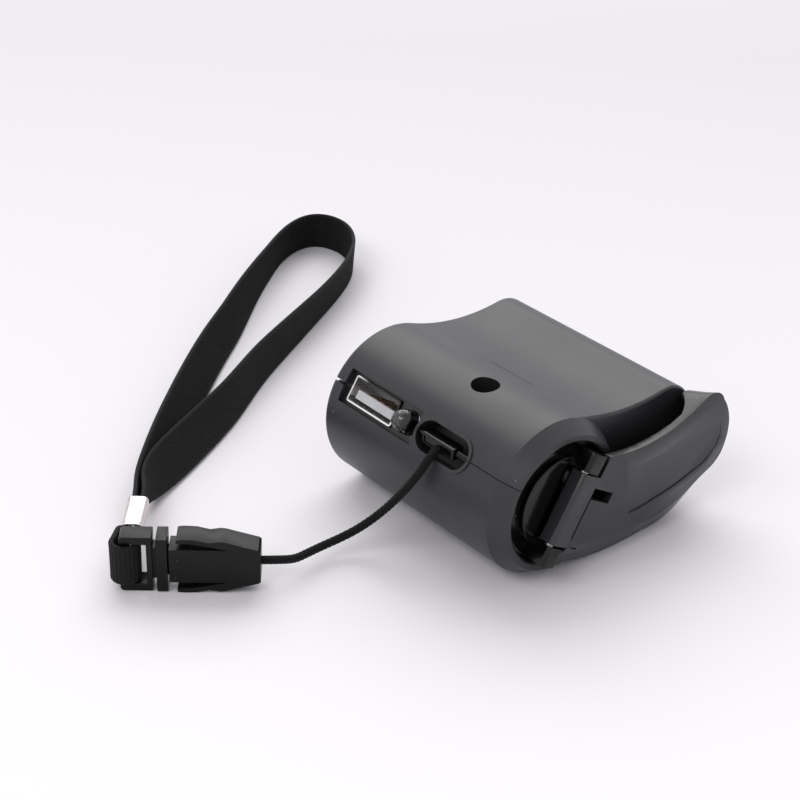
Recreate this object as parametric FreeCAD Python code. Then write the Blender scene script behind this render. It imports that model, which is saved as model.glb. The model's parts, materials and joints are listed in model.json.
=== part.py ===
import FreeCAD, Part
import math
import os

# Hand crank phone charger: a two-lobed casing with a folding crank on one end,
# a step-up gearbox and a small generator inside, a socket and lamp on the big lobe,
# and a wrist lanyard on a buckle.
# Sizes are in millimetres. The charger is drawn about its crank axis: x runs from the
# plain end to the crank, y from the big lobe to the small lobe, z up.
# Each solid is then moved so that the origin is the bottom centre of the charger.

V = FreeCAD.Vector
X_AXIS = V(1, 0, 0)
Y_AXIS = V(0, 1, 0)
Z_AXIS = V(0, 0, 1)
ORIGIN = V(0, 0, 0)

# Casing section
lobe_radius = 17.0
waist_y = 24.5
waist_height = 12.4
top_radius = 7.5
top_y = 33.1
side_radius = 10.0
side_y = 32.5
side_drop = 4.8
belly_radius = 24.0

# Casing length and walls
body_length = 50.5
wall = 1.6
far_round = 1.2
near_round = 0.6
seam_angle = 147.0
seam_gap = 0.16
seam_notch = 0.35

# Crank collar on the casing
collar_length = 3.5
collar_face_radius = 14.8
collar_bore_radius = 13.3
collar_chamfer = 0.4

# Charging socket
socket_length = 14.0
socket_height = 5.9
socket_depth = 13.0
socket_skin = 0.35
socket_x = 11.6
socket_mouth = 15.7
tongue_width = 11.4
tongue_thickness = 1.9
tongue_offset = 0.75
contact_width = 1.0
contact_pitch = 2.3
contact_thickness = 0.22

# Lamp
lamp_radius = 2.5
lamp_flange_radius = 2.85
lamp_x = 22.6
lamp_tip = 19.8
lamp_base = 9.6

# Recess round the socket and the lamp, and pocket of the lanyard bar
recess_start = 3.4
recess_end = 26.0
recess_half = 3.7
recess_floor = 15.2
pocket_start = 26.8
pocket_gear_gap = 2.8
pocket_half = 3.3
pocket_floor = 12.6
pocket_rim = 0.7
pocket_rim_proud = 0.3
pad_thickness = 1.3

# Lanyard bar
bar_end_gap = 2.7
bar_shift = 0.7
bar_width = 2.6
bar_depth = 3.0
bar_centre = 16.1
bar_tilt = 30.0
bar_dish = 0.25
bar_border = 0.55
bar_pin_radius = 0.8

# Casing screws
screw_plate_gap = 6.1
screw_y = -0.6
screw_seat = 5.0
screw_head_radius = 2.5
screw_head_height = 1.7
screw_radius = 1.2
screw_length = 12.0
screw_hole_radius = 3.0
boss_wall = 1.3
boss_floor = 1.8
low_screw_x = 8.5
low_screw_y = 31.0
low_screw_seat = -11.5
column_wall = 1.9
shank_play = 0.15

# Crank hub and hinge
arm_angle = -31.2
hub_radius = 12.9
hub_rim_thickness = 1.2
hub_boss_radius = 10.0
hub_boss_drop = 0.5
hub_gap = 0.4
hinge_lift = 1.7
hinge_offset = -0.2
knuckle_half = 2.25
knuckle_round = 0.9
knuckle_start = 8.2
knuckle_end = 12.3
knuckle_gap = 0.45
barrel_half = 1.95
barrel_play = 0.65
barrel_reach = 3.5
barrel_drop = 0.5
pin_radius = 0.9
running_clearance = 0.04

# Crank arm
arm_front = 3.0
arm_skin = 1.6
arm_back_gap = 0.4
collar_clearance = 0.35
arm_edge = 4.05
scoop_y = 28.6
panel_depth = 0.3

# Knob
knob_y = 37.2
knob_z = 0.3
knob_radius = 4.3
knob_pin_radius = 1.2
knob_head_radius = 2.2
knob_head_height = 0.9
knob_grooves = 12

# Shaft and gears
shaft_radius = 2.0
bush_radius = 3.2
bush_flange_radius = 4.2
bush_flange = 0.8
tooth_module = 0.6
drive_teeth = 46
small_teeth = 12
wheel_teeth = 32
counter_drop = 4.0
tooth_thinning = 0.14
drive_gear_width = 2.4
drive_gear_gap = 4.7
wheel_width = 2.0
wheel_step = 3.3
counter_pin_radius = 1.0
plate_step = 3.5
plate_thickness = 1.2
plate_clearance = 0.3
post_radius = 1.6
plate_screw_radius = 0.75
plate_screw_drop = 3.2
plate_head_radius = 1.4
clip_radius = 3.4
clip_thickness = 0.6

# Generator
can_clearance = 1.3
can_length = 19.0
can_skin = 0.7
cap_thickness = 1.4
rotor_air_gap = 0.4
rotor_length = 12.0
magnet_thickness = 0.8
rotor_shaft_radius = 0.75
pinion_length = 4.4
can_screw_radius = 0.6
can_screw_reach = 6.2
terminal_offset = 5.5

# Circuit board
board_thickness = 1.2
board_start = 2.6
board_end = 25.2
board_outer = 12.4
board_inner = -9.0
board_gap = 0.05

# Lanyard, with places given from the origin of the finished charger
cord_diameter = 1.8
cord_hole_play = 0.05
buckle_start = V(-25.8, -84.8, 6.3)
buckle_turn = 50.4
buckle_length = 27.6
buckle_height = 12.6
buckle_thickness = 5.0
buckle_frame = 1.7
bar_web = 1.9
tab_slot = 3.4
prong_thickness = 2.0
prong_clearance = 0.25
prong_room = 3.4
catch_room = 4.2
tongue_room = 1.6
strap_width = 10.0
strap_gather = (0.33, 0.42, 0.72, 0.93)
strap_lift = (4.6, 3.9, 1.3, 0.3)
strap_thickness = 1.0
crimp_length = 12.0
crimp_width = 5.0
crimp_height = 4.6
crimp_start = 9.0
lanyard_turn = 138.7

cord_route = [
    V(-9.4, -65.0, 6.3),
    V(-6.5, -60.9, 6.2),
    V(-6.2, -56.8, 4.7),
    V(-6.9, -52.6, 4.2),
    V(-7.3, -48.6, 3.9),
    V(-6.9, -44.8, 4.2),
    V(-5.6, -41.6, 5.6),
    V(-3.6, -39.0, 8.2),
    V(-1.2, -36.8, 11.8),
    V(1.2, -35.1, 15.8),
    V(3.2, -33.9, 19.6),
    V(4.3, -32.7, 22.4),
    V(4.43, -31.2, 24.5),
    V(4.43, -28.75, 25.45),
]

buckle_prong = [(9.0, 2.9), (15.0, 2.75), (17.6, 3.75), (19.2, 3.75), (19.7, 3.2),
                (18.4, 2.3), (15.6, 1.75), (9.0, 1.65)]

buckle_window = [(10.8, 3.85), (10.8, 5.35), (13.5, 5.3), (16.0, 4.95), (18.5, 4.4), (21.4, 3.85)]

strap_route = [
    (-39.0, -70.9, 90.0),
    (-41.6, -68.2, 84.0),
    (-44.8, -64.2, 64.0),
    (-47.5, -58.5, 54.0),
    (-50.7, -51.3, 55.0),
    (-57.1, -38.9, 62.0),
    (-62.6, -29.4, 72.0),
    (-71.6, -17.0, 80.0),
    (-77.4, -7.0, 86.0),
    (-83.6, 4.2, 92.0),
    (-89.4, 14.6, 98.0),
    (-96.6, 27.6, 98.0),
    (-103.6, 37.4, 94.0),
    (-111.2, 42.6, 92.0),
    (-118.8, 43.6, 92.0),
    (-124.2, 40.6, 94.0),
    (-124.8, 34.6, 95.0),
    (-121.3, 26.6, 94.0),
    (-115.4, 18.8, 90.0),
    (-109.2, 10.9, 84.0),
    (-101.4, 2.0, 74.0),
    (-93.2, -7.1, 66.0),
    (-88.1, -13.8, 62.0),
    (-82.8, -20.5, 60.0),
    (-75.6, -29.1, 58.0),
    (-67.4, -38.6, 58.0),
    (-58.6, -48.8, 60.0),
    (-50.4, -58.6, 64.0),
    (-45.0, -66.0, 68.0),
    (-42.4, -69.9, 84.0),
    (-40.1, -72.1, 90.0),
]

# Sizes worked out from the ones above
waist_radius = (waist_y ** 2 / (lobe_radius - waist_height) - lobe_radius - waist_height) / 2
collar_face = body_length + collar_length
inner_end = body_length - wall
drive_gear_x = inner_end - drive_gear_gap
wheel_x = drive_gear_x - wheel_step
plate_x = wheel_x - plate_step
screw_x = plate_x - screw_plate_gap
pocket_end = drive_gear_x - pocket_gear_gap
bar_length = pocket_end - pocket_start - 2 * bar_end_gap
bar_x = (pocket_start + pocket_end) / 2 - bar_shift
hub_back = body_length + hub_gap
hub_rim_face = hub_back + hub_rim_thickness
hub_face = collar_face - hub_boss_drop
hinge_x = collar_face + hinge_lift
arm_face = collar_face + arm_front
arm_back = body_length + arm_back_gap
arm_over = collar_face + collar_clearance
can_radius = lobe_radius - wall - counter_drop - can_clearance
magnet_bore = can_radius - can_skin - magnet_thickness
rotor_radius = magnet_bore - rotor_air_gap
counter_reach = tooth_module * (drive_teeth + small_teeth) / 2
counter_y = math.sqrt(counter_reach ** 2 - counter_drop ** 2)
counter_z = -counter_drop
motor_y = counter_y + tooth_module * (wheel_teeth + small_teeth) / 2
motor_z = counter_z
can_front = plate_x
can_back = can_front - can_length
arm_tip_y = 46.2
column_radius = screw_radius + column_wall
shank_hole = screw_radius + shank_play
overall_length = hinge_x + knuckle_half
home = V(-overall_length / 2, (lobe_radius - arm_tip_y) / 2, lobe_radius)
barrel_room = barrel_half + barrel_play


def polar(centre, radius, angle):
    a = math.radians(angle)
    return (centre[0] + radius * math.cos(a), centre[1] + radius * math.sin(a))


def bearing(origin, target):
    return math.degrees(math.atan2(target[1] - origin[1], target[0] - origin[0]))


def at(x, point):
    return V(x, point[0], point[1])


def arc_edge(x, centre, radius, first, last):
    middle = (first + last) / 2
    ends = [at(x, polar(centre, radius, a)) for a in (first, middle, last)]
    return Part.Arc(*ends).toShape()


def line_edge(x, a, b):
    return Part.LineSegment(at(x, a), at(x, b)).toShape()


def three_point_arc(x, a, b, c):
    return Part.Arc(at(x, a), at(x, b), at(x, c)).toShape()


def section(inset, x=0.0):
    # Closed outline of the casing, every curve set in by the same distance
    lobe = (0.0, 0.0)
    waist = (waist_y, waist_height + waist_radius)
    reach = waist_radius + top_radius
    top = (top_y, waist[1] - math.sqrt(reach ** 2 - (top_y - waist_y) ** 2))
    side = (side_y, -side_drop)
    belly_z = belly_radius - lobe_radius
    rise = side[1] - belly_z
    belly = (side_y - math.sqrt((belly_radius - side_radius) ** 2 - rise ** 2), belly_z)
    to_waist = bearing(lobe, waist)
    from_waist = bearing(top, waist)
    span = math.hypot(side[0] - top[0], side[1] - top[1])
    flank = bearing(top, side) + math.degrees(math.acos((top_radius - side_radius) / span))
    to_side = bearing(belly, side)
    bottom = inset - lobe_radius
    edges = [
        arc_edge(x, lobe, lobe_radius - inset, 270.0, to_waist),
        arc_edge(x, waist, waist_radius + inset, to_waist + 180.0, from_waist + 180.0),
        arc_edge(x, top, top_radius - inset, from_waist, flank),
        line_edge(x, polar(top, top_radius - inset, flank), polar(side, side_radius - inset, flank)),
        arc_edge(x, side, side_radius - inset, flank, to_side),
        arc_edge(x, belly, belly_radius - inset, to_side, -90.0),
        line_edge(x, (belly[0], bottom), (0.0, bottom)),
    ]
    return Part.Wire(edges)


def prism(wire, length):
    return Part.Face(wire).extrude(V(length, 0, 0))


def rod(radius, start, end, y=0.0, z=0.0):
    return Part.makeCylinder(radius, end - start, V(start, y, z), X_AXIS)


def tube(outer, inner, start, end, y=0.0, z=0.0):
    return rod(outer, start, end, y, z).cut(rod(inner, start - 1, end + 1, y, z))


def post(radius, x, y, low, high):
    return Part.makeCylinder(radius, high - low, V(x, y, low), Z_AXIS)


def box(x0, x1, y0, y1, z0, z1):
    return Part.makeBox(x1 - x0, y1 - y0, z1 - z0, V(x0, y0, z0))


def turned(shape, angle):
    # Turns a shape drawn along +y about the crank axis
    copy = shape.copy()
    copy.rotate(ORIGIN, X_AXIS, angle)
    return copy


def round_ends(solid, x, radius):
    edges = [e for e in solid.Edges if abs(e.BoundBox.XMin - x) < 0.01 and abs(e.BoundBox.XMax - x) < 0.01]
    return solid.makeFillet(radius, edges)


def stadium(x0, x1, half, low, high):
    # Slot outline along x, standing from low to high along +y
    middle = box(x0 + half, x1 - half, low, high, -half, half)
    ends = [Part.makeCylinder(half, high - low, V(x, low, 0), Y_AXIS) for x in (x0 + half, x1 - half)]
    return middle.fuse(ends[0]).fuse(ends[1]).removeSplitter()


def outer_body():
    body = prism(section(0.0), body_length)
    body = round_ends(body, 0.0, far_round)
    body = round_ends(body, body_length, near_round)
    lip = lobe_radius - 0.02
    collar = rod(lip, inner_end - 4.0, body_length)
    cone = Part.makeCone(lip, collar_face_radius, collar_length, V(body_length, 0, 0), X_AXIS)
    return body.fuse(collar).fuse(cone)


def seam_pads():
    # Thicker places in the wall behind the recess and round the lanyard pocket
    inner = prism(section(0.5), body_length - 1.0)
    inner.translate(V(0.5, 0, 0))
    low_x = recess_start - pad_thickness
    recess_pad = box(low_x, recess_end + pad_thickness, recess_floor - pad_thickness, lobe_radius + 2,
                     -recess_half - pad_thickness, recess_half + pad_thickness)
    pocket_pad = box(pocket_start - pad_thickness, pocket_end + pad_thickness, pocket_floor - pad_thickness,
                     lobe_radius + 2, -pocket_half - pad_thickness, pocket_half + pad_thickness)
    pads = recess_pad.fuse(pocket_pad)
    return turned(pads, seam_angle).common(inner)


def pocket_rim_ring():
    high = lobe_radius + pocket_rim_proud
    outer = stadium(pocket_start - pocket_rim, pocket_end + pocket_rim, pocket_half + pocket_rim,
                    pocket_floor, high)
    shell = prism(section(-pocket_rim_proud), body_length)
    return turned(outer, seam_angle).common(shell)


def seam_cuts():
    # Everything that is cut through the wall along the seam, drawn along +y
    far = lobe_radius + 3
    recess = box(recess_start, recess_end, recess_floor, far, -recess_half, recess_half)
    mouth = box(socket_x - socket_length / 2 - 0.1, socket_x + socket_length / 2 + 0.1, 0, far,
                -socket_height / 2 - 0.1, socket_height / 2 + 0.1)
    lamp_hole = Part.makeCylinder(lamp_radius + 0.15, far, V(lamp_x, 0, 0), Y_AXIS)
    lamp_seat = Part.makeCylinder(lamp_flange_radius + 0.1, recess_floor - pad_thickness * 0.5,
                                  V(lamp_x, 0, 0), Y_AXIS)
    pocket = stadium(pocket_start, pocket_end, pocket_half, pocket_floor, far)
    bar_hole = rod(bar_pin_radius + 0.02, pocket_start - 1.0, pocket_end + 1.0, bar_centre, 0.0)
    notch = box(-1.0, recess_start + 0.1, recess_floor, far, -seam_notch, seam_notch)
    cuts = recess.fuse([mouth, lamp_hole, lamp_seat, pocket, bar_hole, notch])
    return turned(cuts, seam_angle)


def screw_cuts():
    top = post(screw_hole_radius, screw_x, screw_y, screw_seat, lobe_radius + 1)
    low = post(screw_hole_radius, low_screw_x, low_screw_y, -lobe_radius - 1, low_screw_seat)
    return [top, low]


def scribe_line():
    # Fine groove along the waist
    return box(22.0, 34.5, 9.5, 9.75, 14.55, 17.0)


def casing():
    solid = outer_body()
    cavity = prism(section(wall), body_length - 2 * wall)
    cavity.translate(V(wall, 0, 0))
    solid = solid.cut(cavity)
    solid = solid.fuse([seam_pads(), pocket_rim_ring()])
    solid = solid.cut(rod(collar_bore_radius, body_length, collar_face + 1))
    solid = solid.cut(Part.makeCone(collar_bore_radius, collar_bore_radius + collar_chamfer, collar_chamfer,
                                    V(collar_face - collar_chamfer, 0, 0), X_AXIS))
    solid = solid.cut(rod(bush_radius + 0.02, inner_end - 1, body_length + 1))
    solid = solid.cut(seam_cuts())
    solid = solid.cut(screw_cuts())
    return solid.cut(scribe_line())


def lower_region():
    # Wedge below the seam: a slanted plane on the big lobe and a level one on the small lobe
    far = 80.0
    slant = polar((0.0, 0.0), far, seam_angle)
    points = [(0.0, 0.0), slant, (-far, -far), (far, -far), (far, 0.0)]
    corners = [at(-1.0, p) for p in points + [points[0]]]
    return Part.Face(Part.makePolygon(corners)).extrude(V(collar_face + 4, 0, 0))


def seam_slab():
    # Thin wedge taken out along the seam, so that the two shells meet in a fine line
    half = seam_gap / 2
    left = turned(box(-1, collar_face + 3, 0, 60, -half, half), seam_angle)
    right = box(-1, collar_face + 3, 0, 60, -half, half)
    return left.fuse(right)


def inside(shape):
    # Keeps a rib or a post within the walls
    room = prism(section(wall - 0.3), body_length - 2 * wall + 0.6)
    room.translate(V(wall - 0.3, 0, 0))
    return shape.common(room)


def plate_posts():
    return [(top_y + 3.1, 6.4), (top_y - 9.8, 6.4), (top_y - 9.6, plate_screw_drop - lobe_radius)]


def plate_post(y, z):
    return rod(post_radius, plate_x + plate_thickness, inner_end + 0.5, y, z)


def counter_boss():
    boss = rod(2.4, inner_end - 1.6, inner_end + 0.3, counter_y, counter_z)
    return boss.cut(rod(counter_pin_radius + 0.02, inner_end - 3, inner_end + 0.1, counter_y, counter_z))


def board_ribs():
    # Two ribs that carry the circuit board on its lower face
    low = socket_height / 2 + board_gap + board_thickness
    rib_width = 1.4
    places = (board_start + 1.0, board_end - 2.6)
    return [turned(box(x, x + rib_width, -7.0, lobe_radius, low, lobe_radius), seam_angle) for x in places]


def upper_shell(whole, region, slab):
    shell = whole.cut(region).cut(slab)
    radius = screw_hole_radius + boss_wall
    boss = inside(post(radius, screw_x, screw_y, screw_seat - boss_floor, lobe_radius))
    column = inside(post(column_radius, low_screw_x, low_screw_y, low_screw_seat + boss_floor + 0.1,
                         lobe_radius))
    shell = shell.fuse([boss, column])
    posts = [inside(plate_post(y, z)) for y, z in plate_posts() if z > 0]
    shell = shell.fuse(posts)
    shell = shell.cut(screw_cuts()[0])
    shell = shell.cut(post(shank_hole, screw_x, screw_y, screw_seat - boss_floor - 1, lobe_radius))
    thread_end = low_screw_seat + screw_length
    shell = shell.cut(post(screw_radius, low_screw_x, low_screw_y, low_screw_seat, thread_end))
    shell = shell.cut([post_hole(y, z) for y, z in plate_posts() if z > 0])
    return shell.removeSplitter()


def post_hole(y, z):
    return rod(plate_screw_radius + 0.02, plate_x, plate_x + plate_thickness + 5.0, y, z)


def lower_shell(whole, region, slab):
    shell = whole.common(region).cut(slab)
    radius = screw_hole_radius + boss_wall
    column = inside(post(column_radius, screw_x, screw_y, -lobe_radius, screw_seat - boss_floor - 0.1))
    boss = inside(post(radius, low_screw_x, low_screw_y, -lobe_radius, low_screw_seat + boss_floor))
    ribs = [inside(rib) for rib in board_ribs()]
    posts = [inside(plate_post(y, z)) for y, z in plate_posts() if z < 0]
    shell = shell.fuse([column, boss, counter_boss()] + ribs + posts)
    shell = shell.cut(screw_cuts()[1])
    shell = shell.cut(post(screw_radius, screw_x, screw_y, screw_seat - screw_length, screw_seat))
    shank_end = low_screw_seat + boss_floor + 1
    shell = shell.cut(post(shank_hole, low_screw_x, low_screw_y, -lobe_radius, shank_end))
    shell = shell.cut([post_hole(y, z) for y, z in plate_posts() if z < 0])
    return shell.removeSplitter()


def cross_screw(x, y, seat, direction):
    # Pan head screw with a cross recess; its shank runs along -direction
    head = Part.makeCylinder(screw_head_radius, screw_head_height, V(x, y, seat), direction)
    top = [e for e in head.Edges if abs(abs(e.CenterOfMass.z - seat) - screw_head_height) < 0.01]
    head = head.makeFillet(0.5, top)
    shank = Part.makeCylinder(screw_radius - 0.02, screw_length - 1.2, V(x, y, seat), -direction)
    tip_z = seat + direction.z * (screw_head_height - 0.8)
    slots = []
    for wide, long in ((0.6, 2.8), (2.8, 0.6)):
        low = min(tip_z, tip_z + 2 * direction.z)
        slots.append(Part.makeBox(wide, long, 2.0, V(x - wide / 2, y - long / 2, low)))
    return head.fuse(shank).cut(slots)


def shell_screws():
    top = cross_screw(screw_x, screw_y, screw_seat, Z_AXIS)
    low = cross_screw(low_screw_x, low_screw_y, low_screw_seat, -Z_AXIS)
    return Part.makeCompound([top, low])


def lanyard_bar():
    # Block that swivels on two pins; the cord goes into a hole in its lower side
    half = bar_length / 2
    top = bar_depth / 2
    block = box(bar_x - half, bar_x + half, -top, top, -bar_width / 2, bar_width / 2)
    block = block.makeFillet(0.35, block.Edges)
    dish = box(bar_x - half + bar_border, bar_x + half - bar_border, top - bar_dish, top + 1,
               bar_border - bar_width / 2, bar_width / 2 - bar_border)
    hole = Part.makeCylinder(cord_diameter / 2 + cord_hole_play, bar_width, V(bar_x, 0.0, 0.0), Z_AXIS)
    block = block.cut([dish, hole])
    block = turned(block, bar_tilt)
    block.translate(V(0, bar_centre, 0))
    pins = rod(bar_pin_radius, pocket_start - 0.9, bar_x - half + 1.0, bar_centre, 0.0)
    pins = pins.fuse(rod(bar_pin_radius, bar_x + half - 1.0, pocket_end + 0.9, bar_centre, 0.0))
    return turned(block.fuse(pins), seam_angle)


# The crank is drawn with its arm along +y and its hinge pin along z, then turned to arm_angle

def squared_barrel(low, high, half):
    # Knuckle with rounded corners about the hinge axis
    size = 2 * half
    block = Part.makeBox(size, size, high - low, V(hinge_x - half, hinge_offset - half, low))
    edges = [e for e in block.Edges if e.BoundBox.ZLength > (high - low) / 2]
    return block.makeFillet(knuckle_round, edges)


def hinge_hole(radius, low, high):
    return Part.makeCylinder(radius, high - low, V(hinge_x, hinge_offset, low), Z_AXIS)


def crank_hub():
    rim = rod(hub_radius, hub_back, hub_rim_face)
    boss = round_ends(rod(hub_boss_radius, hub_back, hub_face), hub_face, 0.3)
    disc = rim.fuse(boss)
    end = knuckle_start - knuckle_gap
    room = Part.makeBox(hub_face, 2 * barrel_room, 2 * end, V(hub_rim_face, hinge_offset - barrel_room, -end))
    disc = disc.cut(room)
    knuckles = []
    for low, high in ((knuckle_start, knuckle_end), (-knuckle_end, -knuckle_start)):
        leg = Part.makeBox(hinge_x - hub_back - 0.3, 2 * knuckle_half, high - low,
                           V(hub_back + 0.3, hinge_offset - knuckle_half, low))
        knuckles += [squared_barrel(low, high, knuckle_half), leg]
    hub = disc.fuse(knuckles)
    hub = hub.cut(hinge_hole(pin_radius + 0.01, -knuckle_end - 1, knuckle_end - 0.8))
    hub = hub.cut(rod(shaft_radius + 0.01, hub_back - 1, hub_rim_face - 0.3))
    return turned(hub, arm_angle)


def hinge_pin():
    pin = hinge_hole(pin_radius, -knuckle_end + 0.3, knuckle_end - 0.9)
    return turned(pin, arm_angle)


def arm_outline(x, points):
    # Points alternate corner, middle of arc, corner; the last corner closes with a straight edge
    edges = []
    for i in range(0, len(points) - 2, 2):
        edges.append(three_point_arc(x, points[i], points[i + 1], points[i + 2]))
    edges.append(line_edge(x, points[-1], points[0]))
    return Part.Wire(edges)


def hinge_line(v):
    # Point of the arm's edge beside the hinge, v along the hinge pin
    a = math.radians(arm_angle)
    return (arm_edge * math.cos(a) - v * math.sin(a), arm_edge * math.sin(a) + v * math.cos(a))


def front_points():
    tip = arm_tip_y
    return [hinge_line(12.4), (18.6, 7.35), (28.7, 8.3), (33.4, 9.9), (37.6, 11.9),
            (41.0, 12.1), (43.6, 9.5), (tip, 2.0), (44.7, -3.9), (42.6, -5.9), (39.2, -7.2),
            (33.6, -10.1), (26.0, -12.2), (12.6, -11.3), hinge_line(-7.9)]


def rim_points():
    bottom = 0.35 - lobe_radius
    tip = arm_tip_y - 1.6
    return [hinge_line(12.2), (18.6, 7.3), (28.6, 8.2), (33.3, 9.8), (37.4, 11.3),
            (40.4, 11.2), (42.9, 8.4), (tip, 1.6), (43.4, -5.2), (41.3, -9.4), (37.9, -12.8),
            (32.4, -15.8), (25.0, bottom), (10.6, bottom + 0.25), hinge_line(-12.6)]


def back_points():
    bottom = 0.35 - lobe_radius
    tip = arm_tip_y - 2.6
    return [hinge_line(12.2), (18.6, 7.3), (28.6, 8.2), (33.3, 9.6), (37.2, 10.7),
            (39.9, 10.2), (42.0, 7.6), (tip, 1.2), (42.7, -5.2), (40.9, -9.4), (37.7, -12.6),
            (32.4, -15.7), (25.0, bottom), (10.6, bottom + 0.25), hinge_line(-12.6)]


def arm_hollow():
    # Room behind the front skin, closed by the skirt along the lower edge and the tip
    points = [(8.0, 6.0), (18.0, 6.4), (28.6, 7.0), (33.2, 8.2), (36.6, 9.3),
              (39.0, 9.0), (40.9, 6.6), (42.1, 1.0), (41.2, -4.8), (39.2, -7.8), (35.2, -9.9),
              (31.0, -12.2), (25.0, -13.3), (16.4, -13.0), (8.0, -10.6)]
    start = arm_back - 1
    return prism(arm_outline(start, points), arm_face - arm_skin - start)


def finger_scoop():
    # Opens the rim of the arm towards the waist, so that a finger can lift it
    start = arm_back - 1
    depth = arm_face - arm_skin - start
    open_rim = Part.makeBox(depth, 42.0, 16.0, V(start, -12.0, 3.4))
    sweep = Part.makeCylinder(9.55, 16.0, V(arm_back - 4.4, scoop_y, 3.4), Z_AXIS)
    slab = Part.makeBox(depth, 60.0, 40.0, V(start, -12.0, -15.0))
    return open_rim.fuse(sweep.common(slab))


def barrel_web():
    # Joins the middle knuckle to the front skin, drawn with the arm along +y
    end = knuckle_start - knuckle_gap
    web = Part.makeBox(arm_skin + 0.6, arm_edge + 0.6 - hinge_offset, 2 * end,
                       V(arm_face - arm_skin - 0.6, hinge_offset, -end))
    low = arm_face - arm_skin - 0.6
    high = hinge_x + knuckle_half - barrel_drop
    block = Part.makeBox(high - low, barrel_reach - hinge_offset, 2 * end, V(low, hinge_offset, -end))
    corner = [e for e in block.Edges if e.BoundBox.ZLength > end and e.BoundBox.XMin > high - 0.01
              and e.BoundBox.YMin > barrel_reach - 0.01]
    return web.fuse(block.makeFillet(knuckle_round / 2, corner))


def arm_notches():
    start = arm_face - 8
    notch = Part.makeBox(12, 6.4, 2.4, V(start, arm_edge - 0.2, 3.0))
    slot = Part.makeBox(12, 0.7, 9.0, V(start, arm_edge - 0.5, -5.9))
    slit = Part.makeBox(12, 2.4, 0.5, V(arm_face - 1.0, arm_edge + 1.4, -8.0))
    return notch.fuse([slot, slit])


def front_panel():
    # Shallow panel on the front of the arm, deepest along its lower edge
    points = [(16.4, 3.6), (24.0, 3.2), (31.0, 4.6), (36.0, 6.6), (39.6, 8.6),
              (42.3, 6.6), (43.4, 3.4), (43.6, 0.4), (42.3, -2.0), (40.0, -3.9), (36.8, -5.0),
              (30.6, -6.6), (24.4, -7.4), (20.6, -7.9), (17.0, -7.8)]
    tool = prism(arm_outline(arm_face - panel_depth, points), 3.0)
    tilt = math.degrees(math.atan2(panel_depth, 12.0))
    tool.rotate(V(arm_face - panel_depth, 0, -7.6), Y_AXIS, tilt)
    return tool


def crank_arm():
    front = arm_outline(arm_face, front_points())
    rim = arm_outline(arm_over, rim_points())
    back = arm_outline(arm_back, back_points())
    cap = Part.makeLoft([rim, front], True, True)
    skirt = Part.makeLoft([back, rim], True, True)
    skirt = skirt.cut(rod(lobe_radius + collar_clearance, arm_back - 1, arm_over))
    arm = cap.fuse(skirt)
    arm = arm.cut(arm_hollow())
    arm = arm.cut(finger_scoop())
    end = knuckle_start - knuckle_gap
    barrel = turned(squared_barrel(-end, end, barrel_half).fuse(barrel_web()), arm_angle)
    arm = arm.fuse(barrel)
    arm = arm.fuse(rod(knob_pin_radius + 1.0, arm_face - arm_skin - 0.5, arm_face - 0.8, knob_y, knob_z))
    arm = arm.cut(turned(hinge_hole(pin_radius + running_clearance, -20, 20), arm_angle))
    arm = arm.cut(turned(arm_notches(), arm_angle))
    arm = arm.cut(front_panel())
    arm = arm.cut(rod(knob_pin_radius + 0.01, arm_back - 1, arm_face - 0.9, knob_y, knob_z))
    return arm.removeSplitter()


def knob_span():
    return arm_back + 0.1, arm_face - arm_skin - 0.55


def crank_knob():
    start, end = knob_span()
    knob = rod(knob_radius, start, end, knob_y, knob_z)
    knob = round_ends(knob, start, 0.7)
    cuts = []
    for i in range(knob_grooves):
        y, z = polar((knob_y, knob_z), knob_radius + 0.35, i * 360.0 / knob_grooves)
        cuts.append(rod(0.7, start - 1, end + 1, y, z))
    knob = knob.cut(cuts)
    knob = knob.cut(rod(knob_pin_radius + running_clearance, start - 1, end + 1, knob_y, knob_z))
    return knob.cut(rod(knob_head_radius + 0.1, start - 1, start + knob_head_height + 0.1, knob_y, knob_z))


def knob_pin():
    start, end = knob_span()
    shank = rod(knob_pin_radius, start + 0.1, arm_face - 0.95, knob_y, knob_z)
    head = rod(knob_head_radius, start, start + knob_head_height, knob_y, knob_z)
    return head.fuse(shank)


def involute_point(base, radius):
    angle = math.acos(base / radius)
    return math.tan(angle) - angle


def gear_outline(teeth, x, thinning, turn):
    # Involute flanks from just above the root to the tip, symmetrical about each tooth
    pitch = tooth_module * teeth / 2
    base = pitch * math.cos(math.radians(20.0))
    tip = pitch + 0.8 * tooth_module
    root = pitch - 1.25 * tooth_module
    half = math.pi / (2 * teeth) - thinning / (2 * pitch)
    start = max(base, root + 0.05)
    steps = 4
    flank = []
    for i in range(steps + 1):
        radius = start + (tip - start) * i / steps
        angle = half + involute_point(base, pitch) - involute_point(base, max(radius, base))
        flank.append((radius, angle))
    points = []
    for tooth in range(teeth):
        middle = math.radians(turn) + 2 * math.pi * tooth / teeth
        points.append((root, middle - flank[0][1] - 0.02))
        points += [(r, middle - a) for r, a in flank]
        points += [(r, middle + a) for r, a in reversed(flank)]
        points.append((root, middle + flank[0][1] + 0.02))
    corners = [V(x, r * math.cos(a), r * math.sin(a)) for r, a in points]
    return Part.makePolygon(corners + [corners[0]])


def gear(teeth, x, width, turn, y=0.0, z=0.0):
    solid = Part.Face(gear_outline(teeth, x, tooth_thinning, turn)).extrude(V(width, 0, 0))
    solid.translate(V(0, y, z))
    return solid


def mesh_angle():
    return math.degrees(math.atan2(counter_z, counter_y))


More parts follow.
